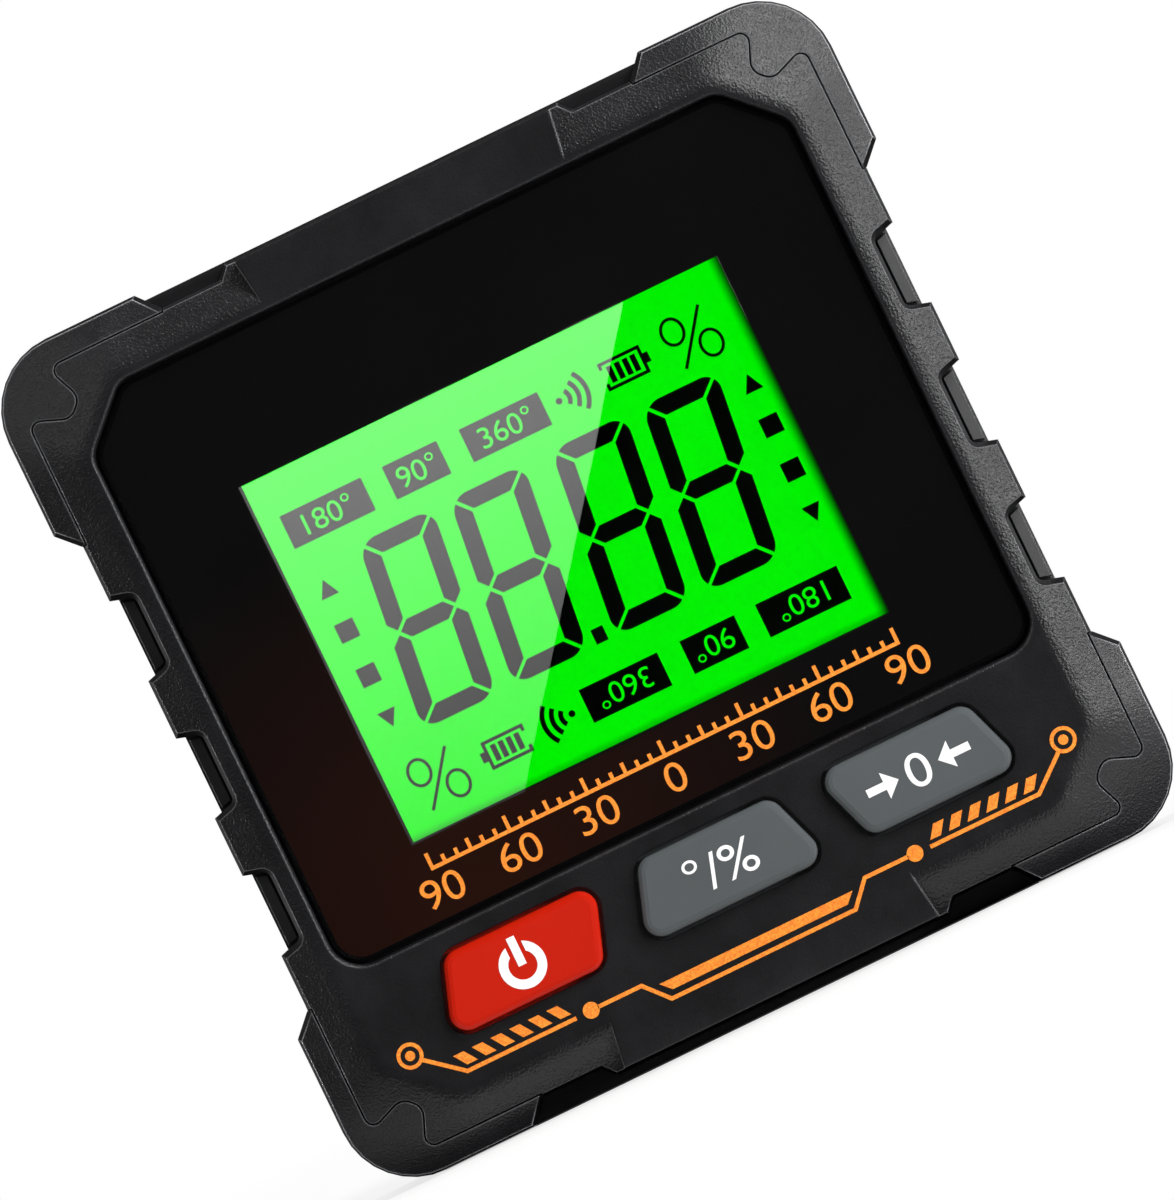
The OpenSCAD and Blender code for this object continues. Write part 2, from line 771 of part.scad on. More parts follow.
// Battery bay, screw pillars and magnet seats inside the shell
module rear_inside() {
    plate(floor_front, cover_front + BITE,
        box(-bay_l / 2 - bay_wall_t, bay_z - bay_wall_t, bay_l + 2 * bay_wall_t, bay_h + 2 * bay_wall_t));
    screw_bosses(head_d + 2 * wall_t, bezel_d, cover_front + BITE);
    magnets(magnet_d + 2 * skin_t, wall_t / 2, magnet_t + magnet_sunk + skin_t);
}

module rear_case() {
    cover_hole = inset(box(-cover_w / 2, cover_z, cover_w, cover_h, cover_r), -cover_gap);
    catch_z = cover_top - cover_lap - BITE;
    catch_h = cover_top + nose_reach + toe_gap - catch_z;
    color("#2a2a2c")
        difference() {
            union() {
                rear_shell();
                rear_inside();
            }
            plate(floor_back, body_d + OVER, box(-bay_l / 2, bay_z, bay_l, bay_h));
            plate(cover_front, body_d + OVER, cover_hole);
            cover_toes(toe_front - toe_room, cover_front, cover_z - toe_reach - toe_gap,
                toe_reach + toe_gap + cover_lap + BITE, toe_gap);
            plate(toe_front - toe_gap, cover_front,
                box(-latch_w / 2 - toe_gap, catch_z, latch_w + 2 * toe_gap, catch_h));
            rod(0, cover_top, latch_w, body_d - dip_d, body_d + OVER);
            screw_bosses(screw_d + 4 * FIT, bezel_d - OVER, head_front + OVER);
            screw_bosses(head_d + 5 * FIT, head_front, body_d + OVER);
            magnets(magnet_d + FIT, -OVER, magnet_t + magnet_sunk);
            for (z = [bay_mid + cell_rise, bay_mid - cell_rise])
                tail_plate(-plate_x - plate_t, z, FIT, bezel_d - OVER);
            tail_plate(plate_x, bay_mid + cell_rise, FIT, bezel_d - OVER);
        }
}

// Battery cover: plate with two toes, a rib between the cells and a springy latch tongue
module battery_cover() {
    nose_x = -nose_w / 2;
    nose_z = cover_top - cover_lap;
    root_h = cover_lap - cover_gap;
    rib_w = 0.8 * bay_l;
    color("#262628")
        difference() {
            union() {
                plate(cover_front, body_d, box(-cover_w / 2, cover_z, cover_w, cover_h, cover_r));
                cover_toes(toe_front, toe_back, cover_z - toe_reach, toe_reach + cover_lap, 0);
                cover_toes(toe_front, cover_front + BITE, cover_z + cover_gap, root_h, 0);
                plate(cell_mid + cell_d / 3, cover_front + BITE,
                    box(-rib_w / 2, bay_mid - rib_t / 2, rib_w, rib_t));
                plate(toe_front, toe_back, box(nose_x, nose_z, nose_w, cover_lap + nose_reach));
                plate(toe_front, cover_front + BITE, box(nose_x, nose_z, nose_w, root_h));
            }
            for (x = [-latch_w / 2, nose_w / 2])
                plate(cover_front - OVER, body_d + OVER,
                    box(x, cover_top - latch_l, latch_slot, latch_l + OVER));
            for (i = [1:GROOVES])
                plate(body_d - groove_d, body_d + OVER, box(nose_x - FIT, nose_z - (i - BITE) * groove_pitch,
                    nose_w + 2 * FIT, groove_pitch / 2));
        }
}

module cell(x, z, to_right) {
    translate([x, face_y + cell_mid, z])
        rotate([0, to_right ? 90 : -90, 0]) {
            cylinder(d = cell_d, h = cell_l - nub_l);
            cylinder(d = nub_d, h = cell_l);
        }
}

module cell_upper() {
    color("#3c4046")
        cell(cell_l - plate_x, bay_mid + cell_rise, false);
}

module cell_lower() {
    color("#3c4046")
        cell(plate_x - cell_l, bay_mid - cell_rise, true);
}

// Tail of a contact plate, through the bay's floor to the board
module tail_plate(x, z, extra, front) {
    w = tail_w + 2 * extra;
    plate(front, floor_back + OVER, box(x - extra, z - w / 2, plate_t + 2 * extra, w));
}

module contact(x, z, h) {
    plate(floor_back + FIT, cover_front - FIT, box(x, z - plate_h / 2, plate_t, h));
}

module contact_plus() {
    z = bay_mid + cell_rise;
    color("#c9cbd0") {
        contact(-plate_x - plate_t, z, plate_h);
        tail_plate(-plate_x - plate_t, z, 0, board_back);
    }
}

module contact_minus() {
    z = bay_mid - cell_rise;
    color("#c9cbd0") {
        contact(-plate_x - plate_t, z, plate_h);
        tail_plate(-plate_x - plate_t, z, 0, board_back);
    }
}

module contact_bridge() {
    color("#c9cbd0") {
        contact(plate_x, bay_mid - cell_rise, plate_h + 2 * cell_rise);
        tail_plate(plate_x, bay_mid + cell_rise, 0, board_back);
    }
}

// Conical coil along x, wide at its plate and narrow at the cell
module coil(x, z, to_right) {
    turns = 3;
    steps = 16 * turns;
    wide = cell_d * 0.34;
    narrow = cell_d * 0.2;
    wire = spring_wire / 2;
    touch = 0.02;
    rise = spring_l - spring_wire - 2 * touch;
    rings = [for (i = [0:steps])
        let (t = i / steps, a = 360 * turns * t, r = wide + (narrow - wide) * t)
        [for (k = [0:5])
            let (q = r + wire * cos(60 * k))
            [wire + touch + rise * t + wire * sin(60 * k), q * cos(a), q * sin(a)]]];
    sides = [for (i = [0:steps - 1], k = [0:5])
        [6 * i + k, 6 * i + (k + 1) % 6, 6 * i + 6 + (k + 1) % 6, 6 * i + 6 + k]];
    start = [5, 4, 3, 2, 1, 0];
    end = [for (k = [0:5]) 6 * steps + k];
    translate([x, face_y + cell_mid, z])
        rotate([0, 0, to_right ? 0 : 180])
            polyhedron([for (ring = rings) each ring], concat(sides, [start, end]));
}

module spring_minus() {
    color("#c9cbd0")
        coil(-plate_x, bay_mid - cell_rise, true);
}

module spring_bridge() {
    color("#c9cbd0")
        coil(plate_x, bay_mid + cell_rise, false);
}

module base_magnets() {
    color("#b8bbc0")
        magnets(magnet_d, magnet_sunk, magnet_t + magnet_sunk);
}

module case_screws() {
    color("#8a8c90")
        for (x = [-screw_x, screw_x], z = screw_z)
            screw(x, z, screw_d, head_d, boss_front + 1, head_front, head_t);
}

front_bezel();
corner_guard_tl();
corner_guard_tr();
corner_guard_bl();
corner_guard_br();
display_window();
lcd_panel();
lcd_backlight();
lcd_connector();
main_board();
angle_sensor();
controller_chip();
piezo_buzzer();
board_screws();
key_switches();
plunger_power();
plunger_mode();
plunger_zero();
key_power();
key_mode();
key_zero();
rear_case();
battery_cover();
cell_upper();
cell_lower();
contact_plus();
contact_minus();
contact_bridge();
spring_minus();
spring_bridge();
base_magnets();
case_screws();
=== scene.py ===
"""Digital angle gauge: finishes, printed signs, lit display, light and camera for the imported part."""

import math

import bmesh
import bpy
from mathutils import Matrix, Vector


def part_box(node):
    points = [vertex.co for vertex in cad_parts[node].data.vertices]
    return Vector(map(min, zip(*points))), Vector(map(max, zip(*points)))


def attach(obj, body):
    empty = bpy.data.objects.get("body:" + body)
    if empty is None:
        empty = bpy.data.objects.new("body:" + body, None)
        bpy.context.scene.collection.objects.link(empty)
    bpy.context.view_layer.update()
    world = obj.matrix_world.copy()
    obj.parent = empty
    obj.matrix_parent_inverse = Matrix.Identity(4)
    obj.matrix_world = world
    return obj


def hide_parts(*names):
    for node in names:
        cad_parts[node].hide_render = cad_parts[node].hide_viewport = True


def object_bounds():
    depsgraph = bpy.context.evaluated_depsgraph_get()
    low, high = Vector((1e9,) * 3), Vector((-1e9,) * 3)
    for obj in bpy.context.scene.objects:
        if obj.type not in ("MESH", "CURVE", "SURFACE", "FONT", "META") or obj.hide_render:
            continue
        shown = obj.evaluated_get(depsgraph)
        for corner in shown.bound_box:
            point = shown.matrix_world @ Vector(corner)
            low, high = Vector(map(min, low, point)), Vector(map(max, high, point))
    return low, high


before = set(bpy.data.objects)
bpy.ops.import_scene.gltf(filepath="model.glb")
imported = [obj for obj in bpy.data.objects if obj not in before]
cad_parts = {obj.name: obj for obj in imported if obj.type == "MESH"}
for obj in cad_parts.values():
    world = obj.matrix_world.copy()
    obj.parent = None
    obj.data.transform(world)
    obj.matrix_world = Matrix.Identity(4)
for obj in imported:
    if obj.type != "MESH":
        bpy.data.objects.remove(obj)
cad_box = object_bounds()
scene = bpy.context.scene
scene.view_settings.view_transform = "Standard"

MM = 0.001
BEZEL_LOW, BEZEL_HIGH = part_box("front_bezel")
FACE, LEDGE = BEZEL_LOW.y, BEZEL_HIGH.y
KEY_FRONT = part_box("key_power")[0].y
WINDOW_LOW, WINDOW_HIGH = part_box("display_window")
GLASS_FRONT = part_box("lcd_panel")[0].y
MIDDLE = (cad_box[0].z + cad_box[1].z) / 2

# Corner radius of the outline, in mm, and the half box that the outline is rolled around
CORNER_R = 5
INNER_BOX = (cad_box[1].x - CORNER_R * MM, 1, MIDDLE - cad_box[0].z - CORNER_R * MM)
# The edge wear and the painted edge highlight start and are full this far inside the outline, in mm
WEAR_AND_HIGHLIGHT_START, WEAR_AND_HIGHLIGHT_FULL = 1.5, 0.5

# Signs and prints are drawn in mm above the front edge of the base, where the window starts at WINDOW_FOOT
WINDOW_FOOT = 14.45
RISE = WINDOW_LOW.z / MM - WINDOW_FOOT
# Lit area of the display, in mm
LIT_LEFT, LIT_RIGHT, LIT_LOW, LIT_HIGH = -17.65, 17.35, 20.2, 46.4


def linear(code):
    """Linear colour of an sRGB hex value."""
    parts = [int(code[i:i + 2], 16) / 255 for i in (1, 3, 5)]
    return (*[c / 12.92 if c <= 0.04045 else ((c + 0.055) / 1.055) ** 2.4 for c in parts], 1)


def add(tree, kind, inputs=None, **settings):
    """Adds a node: settings are its own choices, inputs its sockets, each a value or a node's output."""
    made = tree.nodes.new("ShaderNode" + kind)
    for name, value in settings.items():
        setattr(made, name, value)
    for name, value in (inputs or {}).items():
        if isinstance(value, bpy.types.NodeSocket):
            tree.links.new(value, made.inputs[name])
        else:
            made.inputs[name].default_value = value
    return made


def finish(name):
    """An empty material and its node tree."""
    made = bpy.data.materials.new(name)
    made.use_nodes = True
    made.node_tree.nodes.clear()
    return made, made.node_tree


# Finishes

def grained_abs(name, colour, pale, rubbed_and_highlit, grain, depth, roughness, edge_r):
    """ABS moulded in an etched tool: leathery pebbles that break the light into specks on every slope."""
    made, tree = finish(name)
    coords = add(tree, "TexCoord")
    place = coords.outputs["Object"]
    wander = add(tree, "TexNoise", {"Vector": place, "Scale": 0.5 / (grain * MM), "Detail": 2})
    bent = add(tree, "VectorMath", {0: wander.outputs["Color"], 1: (grain * MM,) * 3, 2: place},
               operation="MULTIPLY_ADD")
    pebbles = add(tree, "TexVoronoi",
                  {"Vector": bent.outputs[0], "Scale": 1 / (grain * MM), "Smoothness": 0.5},
                  feature="SMOOTH_F1")
    creases = add(tree, "TexNoise",
                  {"Vector": place, "Scale": 1.6 / (grain * MM), "Detail": 2, "Roughness": 0.6})
    height = add(tree, "Math", {0: creases.outputs["Fac"], 1: 0.7, 2: pebbles.outputs["Distance"]},
                 operation="MULTIPLY_ADD")
    # The flat face was polished before etching, so its grain is shallower than that of the slopes
    normal = add(tree, "SeparateXYZ", {"Vector": coords.outputs["Normal"]})
    facing = add(tree, "Math", {0: normal.outputs["Y"]}, operation="ABSOLUTE")
    slope = add(tree, "MapRange", {"Value": facing.outputs[0], "From Min": 0.999, "From Max": 0.985})
    sunk = add(tree, "MapRange",
               {"Value": slope.outputs[0], "To Min": 0.25 * depth * MM, "To Max": depth * MM})
    # The tool's edges are broken by a small radius
    soft_edge = add(tree, "Bevel", {"Radius": edge_r * MM}, samples=6)
    relief = add(tree, "Bump", {
        "Height": height.outputs[0], "Strength": 1, "Distance": sunk.outputs[0],
        "Normal": soft_edge.outputs["Normal"],
    })
    # Sharp edges get a line about a tenth of a millimetre wide: smoother from handling wear, and paler by a
    # painted highlight
    shape = add(tree, "NewGeometry")
    bend = add(tree, "VectorMath", {0: soft_edge.outputs["Normal"], 1: shape.outputs["Normal"]},
               operation="DOT_PRODUCT")
    edge = add(tree, "MapRange", {"Value": bend.outputs["Value"], "From Min": 0.99, "From Max": 0.92})
    # The outline gets the full wear and painted edge highlight, the seams and inner edges a quarter of it:
    # worked out as a rounded square
    spot = add(tree, "VectorMath", {0: place, 1: (0, 0, MIDDLE)}, operation="SUBTRACT")
    side = add(tree, "VectorMath", {0: spot.outputs[0]}, operation="ABSOLUTE")
    past = add(tree, "VectorMath", {0: side.outputs[0], 1: INNER_BOX}, operation="SUBTRACT")
    kept = add(tree, "VectorMath", {0: past.outputs[0], 1: (0, 0, 0)}, operation="MAXIMUM")
    reach = add(tree, "VectorMath", {0: kept.outputs[0]}, operation="LENGTH")
    rim = add(tree, "MapRange", {
        "Value": reach.outputs["Value"], "From Min": (CORNER_R - WEAR_AND_HIGHLIGHT_START) * MM,
        "From Max": (CORNER_R - WEAR_AND_HIGHLIGHT_FULL) * MM, "To Min": 0.25, "To Max": 1,
    })
    edge_wear_and_highlight = add(tree, "Math", {0: edge.outputs[0], 1: slope.outputs[0]}, operation="MULTIPLY")
    worn_and_highlit = add(tree, "Math", {0: edge_wear_and_highlight.outputs[0], 1: rim.outputs[0]}, operation="MULTIPLY")
    # Broad, faint handling marks 6 mm across
    smears = add(tree, "TexNoise", {"Vector": place, "Scale": 1 / (6 * MM), "Detail": 6, "Roughness": 0.7})
    marks = add(tree, "MapRange", {"Value": smears.outputs["Fac"], "From Min": 0.3, "From Max": 0.7})
    tone = add(tree, "Mix", {0: marks.outputs[0], 6: linear(colour), 7: linear(pale)}, data_type="RGBA")
    # The pale colour along the edges is a painted highlight
    tinted = add(tree, "Mix", {0: worn_and_highlit.outputs[0], 6: tone.outputs[2], 7: linear(rubbed_and_highlit)}, data_type="RGBA")
    dull = add(tree, "MapRange",
               {"Value": marks.outputs[0], "To Min": roughness - 0.06, "To Max": roughness + 0.06})
    polished = add(tree, "Mix", {0: worn_and_highlit.outputs[0], 2: dull.outputs[0], 3: 0.2})
    shader = add(tree, "BsdfPrincipled", {
        "Base Color": tinted.outputs[2], "Roughness": polished.outputs[0], "IOR": 1.53,
        "Normal": relief.outputs["Normal"],
    })
    add(tree, "OutputMaterial", {"Surface": shader.outputs[0]})
    return made


def satin_plastic(name, colour, pale, roughness):
    """Plastic moulded in a vapour-blasted tool: an even silky sheen, its mirrored light mostly scattered."""
    made, tree = finish(name)
    place = add(tree, "TexCoord").outputs["Object"]
    # The blast's 0.03 mm grit is too fine to show, so it is drawn at 0.12 mm
    grit = add(tree, "TexNoise", {"Vector": place, "Scale": 1 / (0.12 * MM), "Detail": 2})
    relief = add(tree, "Bump", {"Height": grit.outputs["Fac"], "Strength": 1, "Distance": 0.0015 * MM})
    cloud = add(tree, "TexNoise", {"Vector": place, "Scale": 1 / (5 * MM), "Detail": 3})
    tone = add(tree, "Mix", {0: cloud.outputs["Fac"], 6: linear(colour), 7: linear(pale)}, data_type="RGBA")
    shader = add(tree, "BsdfPrincipled", {
        "Base Color": tone.outputs[2], "Roughness": roughness, "IOR": 1.53, "Specular IOR Level": 0.2,
        "Normal": relief.outputs["Normal"],
    })
    add(tree, "OutputMaterial", {"Surface": shader.outputs[0]})
    return made


def printed_ink(name, colour, pale, speck):
    """Pad-printed ink on a grained face: flat colour, a little broken where the valleys stay dry."""
    made, tree = finish(name)
    place = add(tree, "TexCoord").outputs["Object"]
    specks = add(tree, "TexNoise",
                 {"Vector": place, "Scale": 1 / (speck * MM), "Detail": 3, "Roughness": 0.7})
    cover = add(tree, "MapRange", {"Value": specks.outputs["Fac"], "From Min": 0.35, "From Max": 0.65})
    tone = add(tree, "Mix", {0: cover.outputs[0], 6: linear(colour), 7: linear(pale)}, data_type="RGBA")
    relief = add(tree, "Bump", {"Height": specks.outputs["Fac"], "Strength": 1, "Distance": 0.01 * MM})
    shader = add(tree, "BsdfPrincipled", {
        "Base Color": tone.outputs[2], "Roughness": 0.6, "IOR": 1.5, "Normal": relief.outputs["Normal"],
    })
    add(tree, "OutputMaterial", {"Surface": shader.outputs[0]})
    return made


def black_acrylic():
    """Acrylic sheet with a black back print: deep black under a polished face that only mirrors."""
    made, tree = finish("black_acrylic")
    place = add(tree, "TexCoord").outputs["Object"]
    # Rolled sheet is never quite flat: slow waves, 9 mm long
    waves = add(tree, "TexNoise", {"Vector": place, "Scale": 1 / (9 * MM), "Detail": 1})
    relief = add(tree, "Bump", {"Height": waves.outputs["Fac"], "Strength": 1, "Distance": 0.001 * MM})
    tone = add(tree, "Mix", {0: waves.outputs["Fac"], 6: linear("#0a0a0b"), 7: linear("#0e0d0d")},
               data_type="RGBA")
    shader = add(tree, "BsdfPrincipled", {
        "Base Color": tone.outputs[2], "Roughness": 0.005, "IOR": 1.49, "Normal": relief.outputs["Normal"],
    })
    add(tree, "OutputMaterial", {"Surface": shader.outputs[0]})
    return made


def clear_acrylic():
    """Clear acrylic sheet, polished: seen only by what it mirrors."""
    made, tree = finish("clear_acrylic")
    place = add(tree, "TexCoord").outputs["Object"]
    waves = add(tree, "TexNoise", {"Vector": place, "Scale": 1 / (14 * MM), "Detail": 1})
    relief = add(tree, "Bump", {"Height": waves.outputs["Fac"], "Strength": 1, "Distance": 0.001 * MM})
    shader = add(tree, "BsdfPrincipled", {
        "Base Color": linear("#ffffff"), "Roughness": 0, "IOR": 1.49, "Transmission Weight": 1,
        "Normal": relief.outputs["Normal"],
    })
    add(tree, "OutputMaterial", {"Surface": shader.outputs[0]})
    return made


def lit_display():
    """Liquid crystal glass over a green light guide: even light, with a painted shadow of the window frame at
    the right, and darker along the bottom.
    """
    made, tree = finish("lit_display")
    place = add(tree, "TexCoord").outputs["Object"]
    spot = add(tree, "SeparateXYZ", {"Vector": place})
    # Painted shadow of the window frame, soft over the last millimetre at the right
    frame_shadow = add(tree, "MapRange", {
        "Value": spot.outputs["X"], "From Min": (LIT_RIGHT + 0.1) * MM, "From Max": (LIT_RIGHT - 0.9) * MM,
    }, interpolation_type="SMOOTHSTEP")
    # Darker along the bottom half millimetre
    foot = add(tree, "MapRange", {
        "Value": spot.outputs["Z"], "From Min": (LIT_LOW + RISE) * MM,
        "From Max": (LIT_LOW + RISE + 0.5) * MM, "To Min": 0.55,
    })
    shine = add(tree, "Math", {0: frame_shadow.outputs[0], 1: foot.outputs[0]}, operation="MULTIPLY")
    # The guide glows a little unevenly, in clouds about 12 mm across
    cloud = add(tree, "TexNoise", {"Vector": place, "Scale": 1 / (12 * MM), "Detail": 1})
    glow = add(tree, "Mix", {0: cloud.outputs["Fac"], 6: linear("#00f200"), 7: linear("#00fc00")},
               data_type="RGBA")
    shader = add(tree, "BsdfPrincipled", {
        "Base Color": linear("#0a140a"), "Roughness": 0.6, "IOR": 1.5, "Specular IOR Level": 0.05,
        "Emission Color": glow.outputs[2], "Emission Strength": shine.outputs[0],
    })
    add(tree, "OutputMaterial", {"Surface": shader.outputs[0]})
    return made


def display_black():
    """A driven crystal between crossed polarisers: nearly black, with no sheen of its own."""
    made, tree = finish("display_black")
    place = add(tree, "TexCoord").outputs["Object"]
    cloud = add(tree, "TexNoise", {"Vector": place, "Scale": 1 / (4 * MM), "Detail": 2})
    tone = add(tree, "Mix", {0: cloud.outputs["Fac"], 6: linear("#050505"), 7: linear("#0a080a")},
               data_type="RGBA")
    shader = add(tree, "BsdfPrincipled",
                 {"Base Color": tone.outputs[2], "Roughness": 0.8, "IOR": 1.5, "Specular IOR Level": 0.05})
    add(tree, "OutputMaterial", {"Surface": shader.outputs[0]})
    return made


def plated_metal(name, colour, pale, roughness, line_w):
    """Plated steel, drawn or stamped: bright, with fine lines left by the tool."""
    made, tree = finish(name)
    place = add(tree, "TexCoord").outputs["Object"]
    along = add(tree, "Mapping", {"Vector": place, "Scale": (0.15, 1, 1)})
    lines = add(tree, "TexNoise", {"Vector": along.outputs[0], "Scale": 1 / (line_w * MM), "Detail": 3})
    tone = add(tree, "Mix", {0: lines.outputs["Fac"], 6: linear(colour), 7: linear(pale)}, data_type="RGBA")
    relief = add(tree, "Bump", {"Height": lines.outputs["Fac"], "Strength": 1, "Distance": 0.004 * MM})
    dull = add(tree, "MapRange",
               {"Value": lines.outputs["Fac"], "To Min": roughness - 0.08, "To Max": roughness + 0.08})
    shader = add(tree, "BsdfPrincipled", {
        "Base Color": tone.outputs[2], "Metallic": 1, "Roughness": dull.outputs[0],
        "Normal": relief.outputs["Normal"],
    })
    add(tree, "OutputMaterial", {"Surface": shader.outputs[0]})
    return made


def solder_mask():
    """Glass-epoxy board under green solder mask: glossy, with copper tracks showing paler through it."""
    made, tree = finish("solder_mask")
    place = add(tree, "TexCoord").outputs["Object"]
    # Tracks 0.4 mm wide at a 1.2 mm pitch
    tracks = add(tree, "TexBrick", {
        "Vector": place, "Color1": linear("#12512a"), "Color2": linear("#165a30"),
        "Mortar": linear("#2c7d48"), "Scale": 1 / (4.8 * MM), "Mortar Size": 0.04,
        "Brick Width": 1.5, "Row Height": 0.25,
    })
    relief = add(tree, "Bump", {"Height": tracks.outputs["Fac"], "Strength": 1, "Distance": 0.03 * MM})
    shader = add(tree, "BsdfPrincipled", {
        "Base Color": tracks.outputs["Color"], "Roughness": 0.3, "IOR": 1.55,
        "Normal": relief.outputs["Normal"],
    })
    add(tree, "OutputMaterial", {"Surface": shader.outputs[0]})
    return made


def striped_elastomer():
    """Contact strip of silicone rubber: pale layers and dark carbon layers by turns."""
    made, tree = finish("striped_elastomer")
    place = add(tree, "TexCoord").outputs["Object"]
    # Layers of 0.1 mm are too fine to show, so they are drawn 0.5 mm apart
    layers = add(tree, "TexWave",
                 {"Vector": place, "Scale": 1 / (0.5 * MM) / 20 * math.pi, "Distortion": 0.2},
                 wave_type="BANDS")
    tone = add(tree, "Mix", {0: layers.outputs["Fac"], 6: linear("#3a3436"), 7: linear("#e0c8d0")},
               data_type="RGBA")
    shader = add(tree, "BsdfPrincipled", {"Base Color": tone.outputs[2], "Roughness": 0.7, "IOR": 1.41})
    add(tree, "OutputMaterial", {"Surface": shader.outputs[0]})
    return made


def milky_guide():
    """Frosted acrylic light guide: white, softly see-through at its edges."""
    made, tree = finish("milky_guide")
    place = add(tree, "TexCoord").outputs["Object"]
    dots = add(tree, "TexVoronoi", {"Vector": place, "Scale": 1 / (0.8 * MM)})
    tone = add(tree, "Mix", {0: dots.outputs["Distance"], 6: linear("#f4f6f2"), 7: linear("#dfe8dc")},
               data_type="RGBA")
    shader = add(tree, "BsdfPrincipled", {
        "Base Color": tone.outputs[2], "Roughness": 0.35, "IOR": 1.49, "Subsurface Weight": 0.3,
        "Subsurface Scale": 1 * MM,
    })
    add(tree, "OutputMaterial", {"Surface": shader.outputs[0]})
    return made


def cell_sleeve():
    """Steel cell in a shrunk plastic sleeve: dark between copper-coloured bands, bare nickel at both ends."""
    made, tree = finish("cell_sleeve")
    place = add(tree, "TexCoord").outputs["Object"]
    spot = add(tree, "SeparateXYZ", {"Vector": place})
    reach = add(tree, "Math", {0: spot.outputs["X"]}, operation="ABSOLUTE")
    band = add(tree, "MapRange", {"Value": reach.outputs[0], "From Min": 12 * MM, "From Max": 12.1 * MM})
    ends = add(tree, "MapRange", {"Value": reach.outputs[0], "From Min": 21.3 * MM, "From Max": 21.4 * MM})
    wrinkles = add(tree, "TexNoise", {"Vector": place, "Scale": 1 / (1.5 * MM), "Detail": 2})
    relief = add(tree, "Bump", {"Height": wrinkles.outputs["Fac"], "Strength": 1, "Distance": 0.02 * MM})
    sleeve = add(tree, "Mix", {0: band.outputs[0], 6: linear("#26282c"), 7: linear("#b06a32")},
                 data_type="RGBA")
    tone = add(tree, "Mix", {0: ends.outputs[0], 6: sleeve.outputs[2], 7: linear("#c4c6ca")},
               data_type="RGBA")
    shader = add(tree, "BsdfPrincipled", {
        "Base Color": tone.outputs[2], "Metallic": ends.outputs[0], "Roughness": 0.32,
        "Normal": relief.outputs["Normal"],
    })
    add(tree, "OutputMaterial", {"Surface": shader.outputs[0]})
    return made


# Sizes of grain, depth, edge radius, speck and line are in mm
# The fourth colour of each grained finish is its painted edge highlight, pale on the front pieces
CASE = grained_abs("grained_abs", "#141416", "#1b1b1e", "#b4b4b8",
                   grain=0.18, depth=0.036, roughness=0.38, edge_r=0.17)
REAR = grained_abs("grained_rear_abs", "#18181a", "#1f1f22", "#2a2a2d",
                   grain=0.2, depth=0.02, roughness=0.42, edge_r=0.6)
GUARD = grained_abs("grained_guard", "#151517", "#1d1d20", "#b4b4b8",
                    grain=0.16, depth=0.03, roughness=0.38, edge_r=0.17)
INSERT = grained_abs("smooth_insert", "#212123", "#28282b", "#303033",
                     grain=0.4, depth=0.002, roughness=0.42, edge_r=0.05)
RED_KEY = satin_plastic("red_satin_abs", "#bb1904", "#c31d06", roughness=0.22)
GREY_KEY = satin_plastic("grey_satin_abs", "#505456", "#575b5d", roughness=0.22)
CHIP = satin_plastic("moulded_epoxy", "#1e1e20", "#2a2a2c", roughness=0.55)
PLUNGER = satin_plastic("moulded_acetal", "#c49a40", "#d2aa54", roughness=0.4)
ORANGE = printed_ink("orange_ink", "#e6700a", "#ffa02a", speck=0.14)
WHITE = printed_ink("white_ink", "#efeff0", "#f8f8f8", speck=0.3)
BORDER = black_acrylic()
PANE = clear_acrylic()
LIT = lit_display()
SIGN = display_black()
NICKEL = plated_metal("nickel_plate", "#b9bbc0", "#d8dade", roughness=0.28, line_w=0.1)
ZINC = plated_metal("zinc_plate", "#8d9096", "#a9acb2", roughness=0.35, line_w=0.12)

NODE_FINISH = {
    "front_bezel": CASE, "rear_case": REAR, "battery_cover": REAR,
    "corner_guard_tl": GUARD, "corner_guard_tr": GUARD, "corner_guard_bl": GUARD, "corner_guard_br": GUARD,
    "display_window": BORDER, "lcd_panel": LIT,
    "lcd_backlight": milky_guide(), "lcd_connector": striped_elastomer(),
    "main_board": solder_mask(), "angle_sensor": CHIP, "controller_chip": CHIP, "piezo_buzzer": CHIP,
    "key_switches": CHIP, "plunger_power": PLUNGER, "plunger_mode": PLUNGER, "plunger_zero": PLUNGER,
    "key_power": RED_KEY, "key_mode": GREY_KEY, "key_zero": GREY_KEY,
    "contact_plus": NICKEL, "contact_minus": NICKEL, "contact_bridge": NICKEL,
    "spring_minus": NICKEL, "spring_bridge": NICKEL, "base_magnets": NICKEL,
    "case_screws": ZINC, "board_screws": ZINC,
}
NODE_FINISH["cell_upper"] = NODE_FINISH["cell_lower"] = cell_sleeve()
for name, material in NODE_FINISH.items():
    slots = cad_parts[name].data.materials
    slots.clear()
    slots.append(material)


# Shapes of the signs, as loops of (x, z) in mm

def ring(x, z, rx, rz=None, start=0, end=360, steps=48):
    """Points round an ellipse or part of one, in degrees from the right, upwards."""
    turn = [math.radians(start + (end - start) * i / steps) for i in range(steps + (end - start < 360))]
    return [(x + rx * math.cos(a), z + (rz or rx) * math.sin(a)) for a in turn]


def bow(x, z, radius, width, start, end):
    """An arc-shaped stroke."""
    outside = ring(x, z, radius + width / 2, None, start, end, 24)
    inside = ring(x, z, radius - width / 2, None, start, end, 24)
    return outside + inside[::-1]


def bar(a, b, width):
    """A straight stroke from one point to another."""
    run = Vector(b) - Vector(a)
    side = Vector((-run.y, run.x)).normalized() * width / 2
    return [tuple(Vector(p) + s) for p, s in ((a, side), (a, -side), (b, -side), (b, side))]


